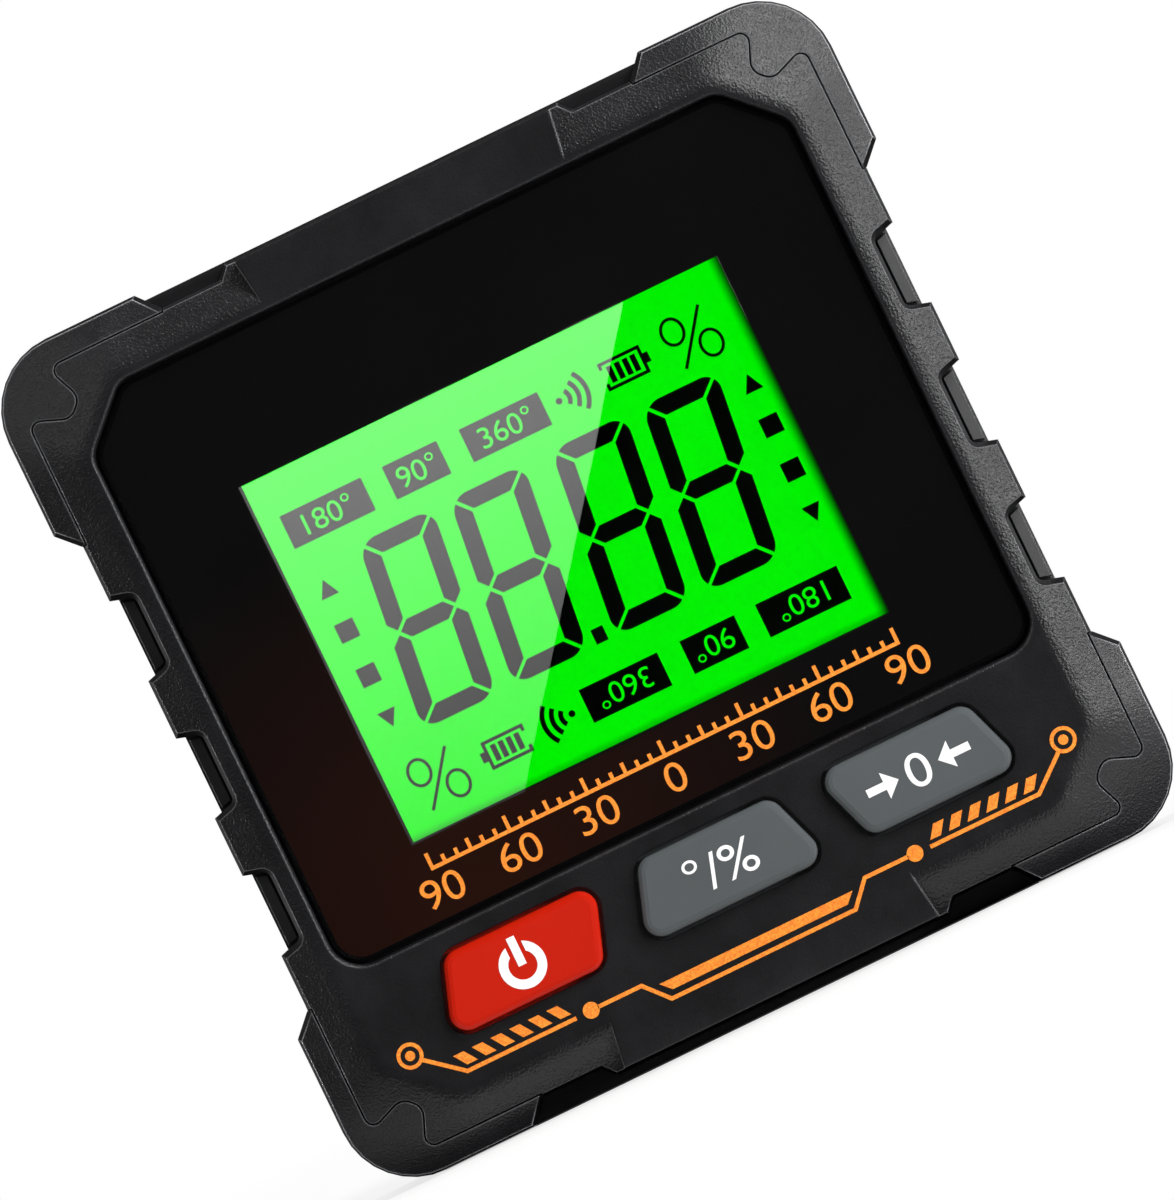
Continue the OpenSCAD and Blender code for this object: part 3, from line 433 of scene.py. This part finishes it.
def line(points, width):
    """A stroke along several points, mitred at its bends."""
    pts = [Vector(p) for p in points]
    left, right = [], []
    for i, p in enumerate(pts):
        before = (p - pts[i - 1]).normalized() if i else (pts[1] - p).normalized()
        after = (pts[i + 1] - p).normalized() if i + 1 < len(pts) else before
        side = Vector((-before.y - after.y, before.x + after.x)).normalized()
        reach = width / 2 / side.dot(Vector((-before.y, before.x)))
        left.append(tuple(p + side * reach))
        right.append(tuple(p - side * reach))
    return left + right[::-1]


def panel(x0, z0, x1, z1):
    """A rectangle between two opposite corners."""
    return [(x0, z0), (x1, z0), (x1, z1), (x0, z1)]


def turned(shapes, x, z):
    """The same shapes upside down about a point."""
    return [[[(2 * x - px, 2 * z - pz) for px, pz in loop] for loop in shape] for shape in shapes]


def glyphs(text, x, z, height, stretch=1, bold=0.0):
    """Loops of plain numbers or signs, centred on a point."""
    curve = bpy.data.curves.new("glyphs", "FONT")
    curve.body = text
    curve.size = 1
    curve.offset = bold
    curve.fill_mode = "NONE"
    holder = bpy.data.objects.new("glyphs", curve)
    scene.collection.objects.link(holder)
    mesh = bpy.data.meshes.new_from_object(holder)
    links = {}
    for a, b in (e.vertices for e in mesh.edges):
        links.setdefault(a, []).append(b)
        links.setdefault(b, []).append(a)
    loops, passed = [], set()
    for first in links:
        if first in passed:
            continue
        loop, at = [], first
        while at is not None:
            passed.add(at)
            loop.append((mesh.vertices[at].co.x, mesh.vertices[at].co.y))
            at = next((n for n in links[at] if n not in passed), None)
        loops.append(loop)
    bpy.data.objects.remove(holder)
    bpy.data.curves.remove(curve)
    bpy.data.meshes.remove(mesh)
    xs = [p[0] for loop in loops for p in loop]
    zs = [p[1] for loop in loops for p in loop]
    size = height / (max(zs) - min(zs))
    cx, cz = (max(xs) + min(xs)) / 2, (max(zs) + min(zs)) / 2
    return [[(x + (px - cx) * size * stretch, z + (pz - cz) * size) for px, pz in loop] for loop in loops]


# Thickness of a print or a display sign, in mm
INK_T = 0.03


def flat_piece(name, shapes, y, material, body, thick=INK_T, rise=RISE):
    """Thin closed plates with their back on the plane y: a shape is a list of loops, an inner one a hole."""
    gathered = bmesh.new()
    for shape in shapes:
        curve = bpy.data.curves.new(name, "CURVE")
        curve.dimensions = "2D"
        curve.fill_mode = "BOTH"
        curve.extrude = thick / 2
        for loop in shape:
            spline = curve.splines.new("POLY")
            spline.points.add(len(loop) - 1)
            spline.use_cyclic_u = True
            for point, (x, z) in zip(spline.points, loop):
                point.co = (x, z, 0, 1)
        holder = bpy.data.objects.new(name, curve)
        scene.collection.objects.link(holder)
        filled = bpy.data.meshes.new_from_object(holder)
        part = bmesh.new()
        part.from_mesh(filled)
        bmesh.ops.remove_doubles(part, verts=part.verts, dist=0.0005)
        bmesh.ops.recalc_face_normals(part, faces=part.faces)
        part.to_mesh(filled)
        part.free()
        gathered.from_mesh(filled)
        bpy.data.objects.remove(holder)
        bpy.data.curves.remove(curve)
        bpy.data.meshes.remove(filled)
    mesh = bpy.data.meshes.new(name)
    gathered.to_mesh(mesh)
    gathered.free()
    upright = Matrix.Translation((0, y - thick / 2 * MM, rise * MM)) @ Matrix.Rotation(math.pi / 2, 4, "X")
    mesh.transform(upright @ Matrix.Scale(MM, 4))
    piece = bpy.data.objects.new(name, mesh)
    scene.collection.objects.link(piece)
    mesh.materials.append(material)
    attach(piece, body)
    return piece


# Window: black border with an opening, and a clear pane in the opening

PUNCH_DEEP = 20 * MM
window_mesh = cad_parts["display_window"].data.copy()
border = bpy.data.objects.new("window_border", window_mesh)
scene.collection.objects.link(border)
opening_size = ((LIT_RIGHT - LIT_LEFT) * MM, PUNCH_DEEP, (LIT_HIGH - LIT_LOW) * MM)
opening_at = ((LIT_RIGHT + LIT_LEFT) / 2 * MM, WINDOW_LOW.y, ((LIT_HIGH + LIT_LOW) / 2 + RISE) * MM)
punch = bmesh.new()
bmesh.ops.create_cube(punch, size=1)
bmesh.ops.scale(punch, verts=punch.verts, vec=opening_size)
bmesh.ops.translate(punch, verts=punch.verts, vec=opening_at)
punch_mesh = bpy.data.meshes.new("window_punch")
punch.to_mesh(punch_mesh)
punch.free()
cutter = bpy.data.objects.new("window_punch", punch_mesh)
scene.collection.objects.link(cutter)
weld = border.modifiers.new("weld", "WELD")
weld.merge_threshold = 0.001 * MM
opening = border.modifiers.new("opening", "BOOLEAN")
opening.object = cutter
opening.solver = "EXACT"
bpy.context.view_layer.update()
cut_border = border.evaluated_get(bpy.context.evaluated_depsgraph_get())
border.data = bpy.data.meshes.new_from_object(cut_border)
border.modifiers.clear()
bpy.data.objects.remove(cutter)
bpy.data.meshes.remove(punch_mesh)
bpy.data.meshes.remove(window_mesh)
border.data.name = "window_border"
border.data.shade_flat()
border.data.materials.clear()
border.data.materials.append(BORDER)
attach(border, "case")
pane_outline = panel(LIT_LEFT, LIT_LOW, LIT_RIGHT, LIT_HIGH)
pane_t = (WINDOW_HIGH.y - WINDOW_LOW.y) / MM
flat_piece("window_pane", [[pane_outline]], WINDOW_HIGH.y, PANE, "case", pane_t)
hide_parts("display_window")


# Thin webs behind the outer ends of the guards' seams, so that no light shows through, in mm

WEB_REACH, WEB_HALF, WEB_T = 0.9, 0.3, 0.4
web_x = BEZEL_HIGH.x / MM
for name, side, low in (
    ("seam_web_tl", -1, False), ("seam_web_tr", 1, False),
    ("seam_web_bl", -1, True), ("seam_web_br", 1, True),
):
    guard_low, guard_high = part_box("corner_guard_" + name[-2:])
    seam_z = (guard_high if low else guard_low).z / MM
    left, right = sorted((side * (web_x - WEB_REACH), side * web_x))
    web = panel(left, seam_z - WEB_HALF, right, seam_z + WEB_HALF)
    flat_piece(name, [[web]], LEDGE, GUARD, "case", WEB_T, 0)


# Smooth inserts on the ledges in the side grips, in mm: each slopes down and widens towards the side

GRIP_PITCH, GRIP_HALF = 10.15, 2.3
INSERT_IN, INSERT_OUT, INSERT_HIGH = 27.42, 28.2, 0.36
INSERT_SLOPE, INSERT_FLARE, INSERT_EDGE = 0.3, 0.3, 0.05
for side, side_name in ((-1, "left"), (1, "right")):
    for i, step in enumerate((-1, 0, 1)):
        shell = bmesh.new()
        for x in (INSERT_IN, INSERT_OUT):
            out = x - INSERT_IN
            half = GRIP_HALF + INSERT_FLARE * out
            for depth in (0, INSERT_HIGH - INSERT_SLOPE * out):
                for end in (-1, 1):
                    z = MIDDLE + (step * GRIP_PITCH + end * half) * MM
                    shell.verts.new((side * x * MM, LEDGE - depth * MM, z))
        bmesh.ops.convex_hull(shell, input=shell.verts)
        bmesh.ops.dissolve_limit(shell, angle_limit=0.01, verts=shell.verts, edges=shell.edges)
        bmesh.ops.bevel(shell, geom=shell.edges, offset=INSERT_EDGE * MM, segments=2, profile=0.5,
                        affect="EDGES")
        mesh = bpy.data.meshes.new(f"grip_insert_{side_name}_{i + 1}")
        shell.to_mesh(mesh)
        shell.free()
        mesh.materials.append(INSERT)
        insert = bpy.data.objects.new(mesh.name, mesh)
        scene.collection.objects.link(insert)
        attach(insert, "case")


# Display digits, in mm

DIGIT_LOW, DIGIT_HIGH, DIGIT_W, DIGIT_CORNER = 26.64, 39.6, 5.45, 1.25
BAR_W, BAR_GAP, LEAN = 1.22, 0.23, 0.1156
DIGIT_AT = (-13.85, -7.14, 0.35, 7.03)
POINT = panel(-1.01, 26.68, -0.15, 27.72)


def digit(x):
    """Loops of an eight with all seven bars on, leaning to the right."""
    h, w, t, r = (DIGIT_HIGH - DIGIT_LOW) / 2, DIGIT_W, BAR_W, DIGIT_CORNER
    step = BAR_GAP * 0.7071
    cut = math.degrees(BAR_GAP / 2 / r)
    top = ring(r, h - r, r, None, 135 - cut, 90, 6) + ring(w - r, h - r, r, None, 90, 45 + cut, 6)
    top += [(w - t - step, h - t), (t + step, h - t)]
    side = [(0, t / 2 + step)] + ring(r, h - r, r, None, 180, 135 + cut, 6)
    side += [(t, h - t - step), (t, t / 2 + step), (t / 2, step)]
    middle = [(t / 2 + step, 0), (t + step, t / 2), (w - t - step, t / 2)]
    middle += [(w - t / 2 - step, 0), (w - t - step, -t / 2), (t + step, -t / 2)]
    loops = [top, side, [(w - px, pz) for px, pz in side]]
    loops += [[(px, -pz) for px, pz in loop] for loop in loops] + [middle]
    return [[(x + px + LEAN * (pz + h), DIGIT_LOW + h + pz) for px, pz in loop] for loop in loops]


digits = [[loop] for x in DIGIT_AT for loop in digit(x)] + [[POINT]]
flat_piece("display_digits", digits, GLASS_FRONT, SIGN, "case")


# Display marks, in mm: an arrow, two squares and an arrow on either side of the digits

ARROW_HALF, MARK_HALF = 0.64, 0.67
MARK_AT = (34.74, 31.47)
for name, x in (("display_marks_left", -15.5), ("display_marks_right", 15.73)):
    upper = [(x - ARROW_HALF, 37.26), (x + ARROW_HALF, 37.26), (x, 38.5)]
    lower = [(x - ARROW_HALF, 28.88), (x, 27.68), (x + ARROW_HALF, 28.88)]
    marks = [[upper], [lower]]
    marks += [[panel(x - MARK_HALF, z - MARK_HALF, x + MARK_HALF, z + MARK_HALF)] for z in MARK_AT]
    flat_piece(name, marks, GLASS_FRONT, SIGN, "case")


# Display signs, in mm: three boxes with plain numbers, a sound sign, a cell with four bars and a percent sign

SIGN_Z, BOX_LOW, BOX_HIGH, NUMBER_H = 42.3, 41.1, 43.5, 1.5
# Number, its middle and the ends of its box
BOXES = (("180°", -13.28, -16.27, -10.29), ("90°", -6.72, -8.73, -4.72), ("360°", -0.18, -3.07, 2.7))
SOUND_X, SOUND_W = 3.76, 0.33
CELL_OUTLINE = [(7.15, 41.9), (7.15, 41.52), (9.98, 41.52), (9.98, 43.28), (7.15, 43.28), (7.15, 42.9)]
CELL_BARS, CELL_BAR_W = (7.5, 8.08, 8.66, 9.22), 0.38
STROKE_W = 0.23
PERCENT_RINGS = ((12.5, 43.15), (14.56, 41.41))
# The lower row is the upper one turned about this point
TURN_AT = (-0.37, 32.8)

boxes = [[panel(left, BOX_LOW, right, BOX_HIGH)] for text, x, left, right in BOXES]
numbers = [glyphs(text, x, SIGN_Z, NUMBER_H, 1.05, 0.012) for text, x, left, right in BOXES]
signs = [[ring(SOUND_X, SIGN_Z, 0.23)]]
signs += [[bow(SOUND_X, SIGN_Z, r, SOUND_W, -40, 40)] for r in (0.75, 1.37, 2.0)]
signs += [[line(CELL_OUTLINE, STROKE_W)], [panel(10.09, 42.05, 10.44, 42.75)]]
signs += [[panel(x, 41.82, x + CELL_BAR_W, 42.98)] for x in CELL_BARS]
signs += [[bar((12.29, 40.54), (14.81, 44.06), 0.21)]]
signs += [[ring(x, z, 0.85, 1.0), ring(x, z, 0.64, 0.79)] for x, z in PERCENT_RINGS]
number_y = GLASS_FRONT - INK_T * MM
for name, shapes, letters in (
    ("display_signs_upper", boxes + signs, numbers),
    ("display_signs_lower", turned(boxes + signs, *TURN_AT), turned(numbers, *TURN_AT)),
):
    flat_piece(name, shapes, GLASS_FRONT, SIGN, "case")
    flat_piece(name.replace("signs", "numbers"), letters, number_y, LIT, "case", 0.01)


# Degree scale on the window, in mm: a tick for every five degrees and a number for every thirty

SCALE_X, SCALE_LOW, SCALE_HIGH, SCALE_NUMBER_Z = -0.15, 18.0, 18.26, 16.55
TICK_PITCH, TICK_W, TICKS = 0.95, 0.26, 18
scale_half = TICKS * TICK_PITCH + TICK_W / 2
scale = [[panel(SCALE_X - scale_half, SCALE_LOW, SCALE_X + scale_half, SCALE_HIGH)]]
for i in range(-TICKS, TICKS + 1):
    tall = 0.95 if i % 6 == 0 else 0.7 if i % 3 == 0 else 0.45
    x = SCALE_X + i * TICK_PITCH
    scale.append([panel(x - TICK_W / 2, SCALE_HIGH, x + TICK_W / 2, SCALE_HIGH + tall)])
    if i % 6 == 0:
        scale.append(glyphs(str(abs(5 * i)), x, SCALE_NUMBER_Z, 2.0, 1.1, 0.05))
flat_piece("window_scale", scale, WINDOW_LOW.y, ORANGE, "case")


# Traces on the chin, in mm: a ringed dot, a bent line and slanted dashes at each end, a double line between

TRACE_W, TRACE_Z = 0.28, 5.05
DOT_X, DOT_Z = 24.0, 7.6
DASHES, DASH_X, DASH_PITCH, DASH_W, DASH_LEAN = 6, 13.2, 1.37, 0.78, 0.62
DASH_LOW, DASH_HIGH = 5.45, 6.35
KNOT_X, KNOT_Z, KNOT_R = 11.9, 5.1, 0.56
DIP = [(-11.4, 5.1), (-8.2, 5.1), (-6.75, 3.47), (6.75, 3.47), (8.2, 5.1), (11.4, 5.1)]
DIP_BAR = [(-7.1, 4.69), (-6.43, 4.0), (6.43, 4.0), (7.1, 4.69)]

for name, s in (("chin_trace_left", -1), ("chin_trace_right", 1)):
    dot_x = s * DOT_X
    trace = [[ring(dot_x, DOT_Z, 0.9), ring(dot_x, DOT_Z, 0.64)], [ring(dot_x, DOT_Z, 0.34)]]
    trace.append([line([(s * 23.36, 7.0), (s * 21.0, TRACE_Z), (s * 13.0, TRACE_Z)], TRACE_W)])
    for i in range(DASHES):
        x = DASH_X + i * DASH_PITCH
        dash = [(x, DASH_LOW), (x + DASH_W, DASH_LOW)]
        dash += [(x + DASH_W + DASH_LEAN, DASH_HIGH), (x + DASH_LEAN, DASH_HIGH)]
        trace.append([[(s * px, pz) for px, pz in dash]])
    flat_piece(name, trace, FACE, ORANGE, "case")
middle = [[ring(s * KNOT_X, KNOT_Z, KNOT_R)] for s in (-1, 1)] + [[line(DIP, TRACE_W)], [DIP_BAR]]
flat_piece("chin_trace_middle", middle, FACE, ORANGE, "case")


# Legends on the keys, in mm: a power sign, degree and percent, and two arrows that close on a nought

LEGEND_T = 0.02
RING_OUT, RING_IN, RING_SLIT, STEM_HALF, STEM_TOP = 1.61, 0.97, 0.58, 0.29, 2.03
ARROW = [(1.45, 0), (2.45, 0.95), (2.45, 0.28), (3.75, 0.28), (3.75, -0.28), (2.45, -0.28), (2.45, -0.95)]


def key_middle(name):
    """Middle of a key's front, as x and z in mm."""
    low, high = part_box(name)
    return (low.x + high.x) / 2 / MM, (low.z + high.z) / 2 / MM


power_x, key_z = key_middle("key_power")
mode_x = key_middle("key_mode")[0]
zero_x = key_middle("key_zero")[0]
sign_x, sign_z = power_x - 0.15, key_z - 0.22
wide, narrow = (math.degrees(math.acos(RING_SLIT / r)) for r in (RING_OUT, RING_IN))
arc = ring(sign_x, sign_z, RING_OUT, None, -180 - wide, wide)
arc += ring(sign_x, sign_z, RING_IN, None, -180 - narrow, narrow)[::-1]
power_sign = [[arc], [panel(sign_x - STEM_HALF, sign_z, sign_x + STEM_HALF, sign_z + STEM_TOP)]]
flat_piece("legend_power", power_sign, KEY_FRONT, WHITE, "power_key", LEGEND_T, 0)
mode_sign = [glyphs("°/%", mode_x, key_z, 2.5, 1.15, 0.05)]
flat_piece("legend_mode", mode_sign, KEY_FRONT, WHITE, "mode_key", LEGEND_T, 0)
zero_sign = [glyphs("0", zero_x, key_z, 2.3, 1.15, 0.055)]
zero_sign += [[[(zero_x + s * x, key_z + z) for x, z in ARROW]] for s in (-1, 1)]
flat_piece("legend_zero", zero_sign, KEY_FRONT, WHITE, "zero_key", LEGEND_T, 0)


# Stage: white floor and world, black flags, and two cards for the window to mirror, in metres

def seen(tree):
    """1 for what the camera sees, straight or by mirror or glass."""
    path = add(tree, "LightPath")
    straight = add(tree, "Math", {0: path.outputs["Is Camera Ray"], 1: path.outputs["Is Glossy Ray"]},
                   operation="MAXIMUM")
    through = add(tree, "Math", {0: straight.outputs[0], 1: path.outputs["Is Transmission Ray"]},
                  operation="MAXIMUM")
    return through.outputs[0]


def sheet(name, corners, material):
    """A flat sheet that belongs to the stage."""
    mesh = bpy.data.meshes.new(name)
    mesh.from_pydata(corners, [], [tuple(range(len(corners)))])
    made = bpy.data.objects.new(name, mesh)
    scene.collection.objects.link(made)
    mesh.materials.append(material)
    return made


def wall(start, end, high):
    """Corners of an upright sheet from one point of the floor to another."""
    return [(*start, 0), (*end, 0), (*end, high), (*start, high)]


def level(outline, z):
    """Corners of a level sheet."""
    return [(x, y, z) for x, y in outline]


FLOOR_SIDE, FLOOR_FRONT, FLOOR_BACK = 1.5, -0.4, 1.5
white_floor, tree = finish("white_floor")
plain = add(tree, "BsdfDiffuse", {"Color": linear("#f4f4f4")})
bright = add(tree, "Emission", {"Color": linear("#ffffff"), "Strength": 1})
# White all over some way off, and open to the object's shadow near it
away = add(tree, "VectorMath", {0: add(tree, "TexCoord").outputs["Object"]}, operation="LENGTH")
own_light = add(tree, "MapRange", {
    "Value": away.outputs["Value"], "From Min": 50 * MM, "From Max": 300 * MM, "To Min": 0.75, "To Max": 1,
})
share = add(tree, "Math", {0: seen(tree), 1: own_light.outputs[0]}, operation="MULTIPLY")
mixed = add(tree, "MixShader", {0: share.outputs[0], 1: plain.outputs[0], 2: bright.outputs[0]})
add(tree, "OutputMaterial", {"Surface": mixed.outputs[0]})
sheet("floor", level(panel(-FLOOR_SIDE, FLOOR_FRONT, FLOOR_SIDE, FLOOR_BACK), 0), white_floor)

world = bpy.data.worlds.new("studio")
scene.world = world
world.use_nodes = True
tree = world.node_tree
tree.nodes.clear()
# Found only by the rays themselves, so that a flag between keeps it off a glossy face
world.cycles.sampling_method = "NONE"
strength = add(tree, "Math", {0: seen(tree), 1: 0.55, 2: 0.45}, operation="MULTIPLY_ADD")
backdrop = add(tree, "Background", {"Color": linear("#ffffff"), "Strength": strength.outputs[0]})
add(tree, "OutputWorld", {"Surface": backdrop.outputs[0]})

FLAG_OFF, FLAG_HIGH, FLAG_END = 0.7, 0.9, 0.05
BACK_OFF, BACK_FLAG = 0.5, 0.85
black_cloth, tree = finish("black_cloth")
cloth = add(tree, "BsdfDiffuse", {"Color": linear("#030303")})
add(tree, "OutputMaterial", {"Surface": cloth.outputs[0]})
# The cloth on the floor ends short of the object, and further off at the right, where the lower corner
# then mirrors the white floor
cloth_y, cloth_z = FACE - 4 * MM, 0.1 * MM
short_y = cloth_y - 9 * MM
cloth_edge = [(FLAG_OFF, short_y), (26 * MM, short_y), (18 * MM, cloth_y), (-FLAG_OFF, cloth_y)]
tent = {
    "flag_front": wall((-FLAG_OFF, -FLAG_OFF), (FLAG_OFF, -FLAG_OFF), FLAG_HIGH),
    "flag_left": wall((-FLAG_OFF, -FLAG_OFF), (-FLAG_OFF, FLAG_END), FLAG_HIGH),
    "flag_right": wall((FLAG_OFF, -FLAG_OFF), (FLAG_OFF, FLAG_END), FLAG_HIGH),
    "flag_top": level(panel(-FLAG_OFF, -FLAG_OFF, FLAG_OFF, FLAG_END), FLAG_HIGH),
    "flag_low": level([(-FLAG_OFF, -FLAG_OFF), (FLAG_OFF, -FLAG_OFF)] + cloth_edge, cloth_z),
    "flag_back": wall((-BACK_FLAG, BACK_OFF), (BACK_FLAG, BACK_OFF), BACK_FLAG),
    "flag_under": level(panel(-FLAG_OFF, FACE, FLAG_OFF, BACK_OFF), cloth_z),
}
flags = [sheet(name, corners, black_cloth) for name, corners in tent.items()]

# A card is placed so that the camera finds it in the window at an outline given in mm
VIEW_FROM = 1500 * MM
card_y = FACE - 0.63
widen = (card_y - WINDOW_LOW.y) / (FACE - VIEW_FROM - WINDOW_LOW.y) + 1


def in_window(outline, y):
    """Corners of a card at the plane y that the window mirrors at an outline."""
    return [(x * MM * widen, y, MIDDLE + ((z + RISE) * MM - MIDDLE) * widen) for x, z in outline]


lit_card, tree = finish("lit_card")
spot = add(tree, "SeparateXYZ", {"Vector": add(tree, "TexCoord").outputs["Generated"]})
fall = add(tree, "MapRange", {"Value": spot.outputs["Z"], "To Min": 0.85, "To Max": 2.75})
lit = add(tree, "Emission", {"Color": linear("#ffffff"), "Strength": fall.outputs[0]})
add(tree, "OutputMaterial", {"Surface": lit.outputs[0]})
glare_left, glare_high = LIT_LEFT - 0.1, LIT_HIGH + 0.15
glare = [(glare_left, LIT_LOW), (-9.45, LIT_LOW), (10.55, glare_high), (glare_left, glare_high)]
card = sheet("card", in_window(glare, card_y), lit_card)

# A warm corner of the room, mirrored low on the left of the window and cut out round the display
WARM_X, WARM_Z, WARM_R = -15, 15.5, 27
warm_card, tree = finish("warm_card")
spot = add(tree, "Mapping", {
    "Vector": add(tree, "TexCoord").outputs["Generated"], "Location": (-1, 0, -1), "Scale": (2, 0, 2),
})
round_off = add(tree, "TexGradient", {"Vector": spot.outputs[0]}, gradient_type="SPHERICAL")
warm = add(tree, "Emission", {"Color": linear("#a84400"), "Strength": round_off.outputs["Fac"]})
add(tree, "OutputMaterial", {"Surface": warm.outputs[0]})
warm_low, warm_high = WARM_Z - WARM_R, WARM_Z + WARM_R
warm_left, warm_right = WARM_X - WARM_R, WARM_X + WARM_R
ell = [(warm_left, warm_low), (warm_right, warm_low), (warm_right, LIT_LOW), (LIT_LEFT, LIT_LOW)]
ell += [(LIT_LEFT, warm_high), (warm_left, warm_high)]
corner = sheet("corner_card", in_window(ell, card_y - 0.02), warm_card)
for held in (*flags, card, corner):
    held.visible_camera = held.visible_diffuse = held.visible_shadow = False


def softbox(name, direction, size, watts):
    """A rectangular lamp that faces the middle of the object from a direction."""
    lamp = bpy.data.lights.new(name, "AREA")
    lamp.shape = "RECTANGLE"
    lamp.size, lamp.size_y = size
    lamp.energy = watts
    made = bpy.data.objects.new(name, lamp)
    scene.collection.objects.link(made)
    aim = Vector(direction).normalized()
    made.location = Vector((0, 0, MIDDLE)) + aim * LAMP_OFF
    made.rotation_euler = aim.to_track_quat("Z", "Y").to_euler()


# The main lamps are long and low, level with the object, so that its top mirrors none of them from behind
LAMP_OFF, LAMP_TALL = 0.55, 0.05
softbox("key_light", (0.83, -0.56, 0.005), (0.3, LAMP_TALL), 1.4)
softbox("corner_light_right", (0.64, -0.5, 0.6), (0.2, 0.2), 1.9)
softbox("corner_light_left", (-0.59, -0.56, 0.59), (0.2, 0.2), 0.25)
softbox("back_light_left", (-0.9, 0.44, 0), (0.3, LAMP_TALL), 0.6)
softbox("back_light_right", (0.9, 0.44, 0), (0.3, LAMP_TALL), 0.6)
# Strips just behind the object's plane draw a bright line along its front edges
softbox("strip_top", (0, 0.2, 0.97), (0.6, 0.08), 0.8)
softbox("strip_left", (-0.97, 0.2, 0), (0.12, LAMP_TALL), 0.2)
softbox("strip_right", (0.97, 0.2, 0), (0.12, LAMP_TALL), 0.2)


# Camera: level with the middle of the face and rolled, so that the right side of the object stands higher

ROLL = math.radians(25.85)
VIEW_W = 79.37 * MM
SHORT_OF_CENTRE = 0.73 * MM
camera = bpy.data.objects.new("camera", bpy.data.cameras.new("camera"))
scene.collection.objects.link(camera)
scene.camera = camera
camera.data.sensor_width = 36
camera.data.lens = camera.data.sensor_width * VIEW_FROM / VIEW_W
camera.rotation_euler = (math.pi / 2, ROLL, 0)
camera_z = MIDDLE - SHORT_OF_CENTRE * math.cos(ROLL)
camera.location = (-SHORT_OF_CENTRE * math.sin(ROLL), FACE - VIEW_FROM, camera_z)
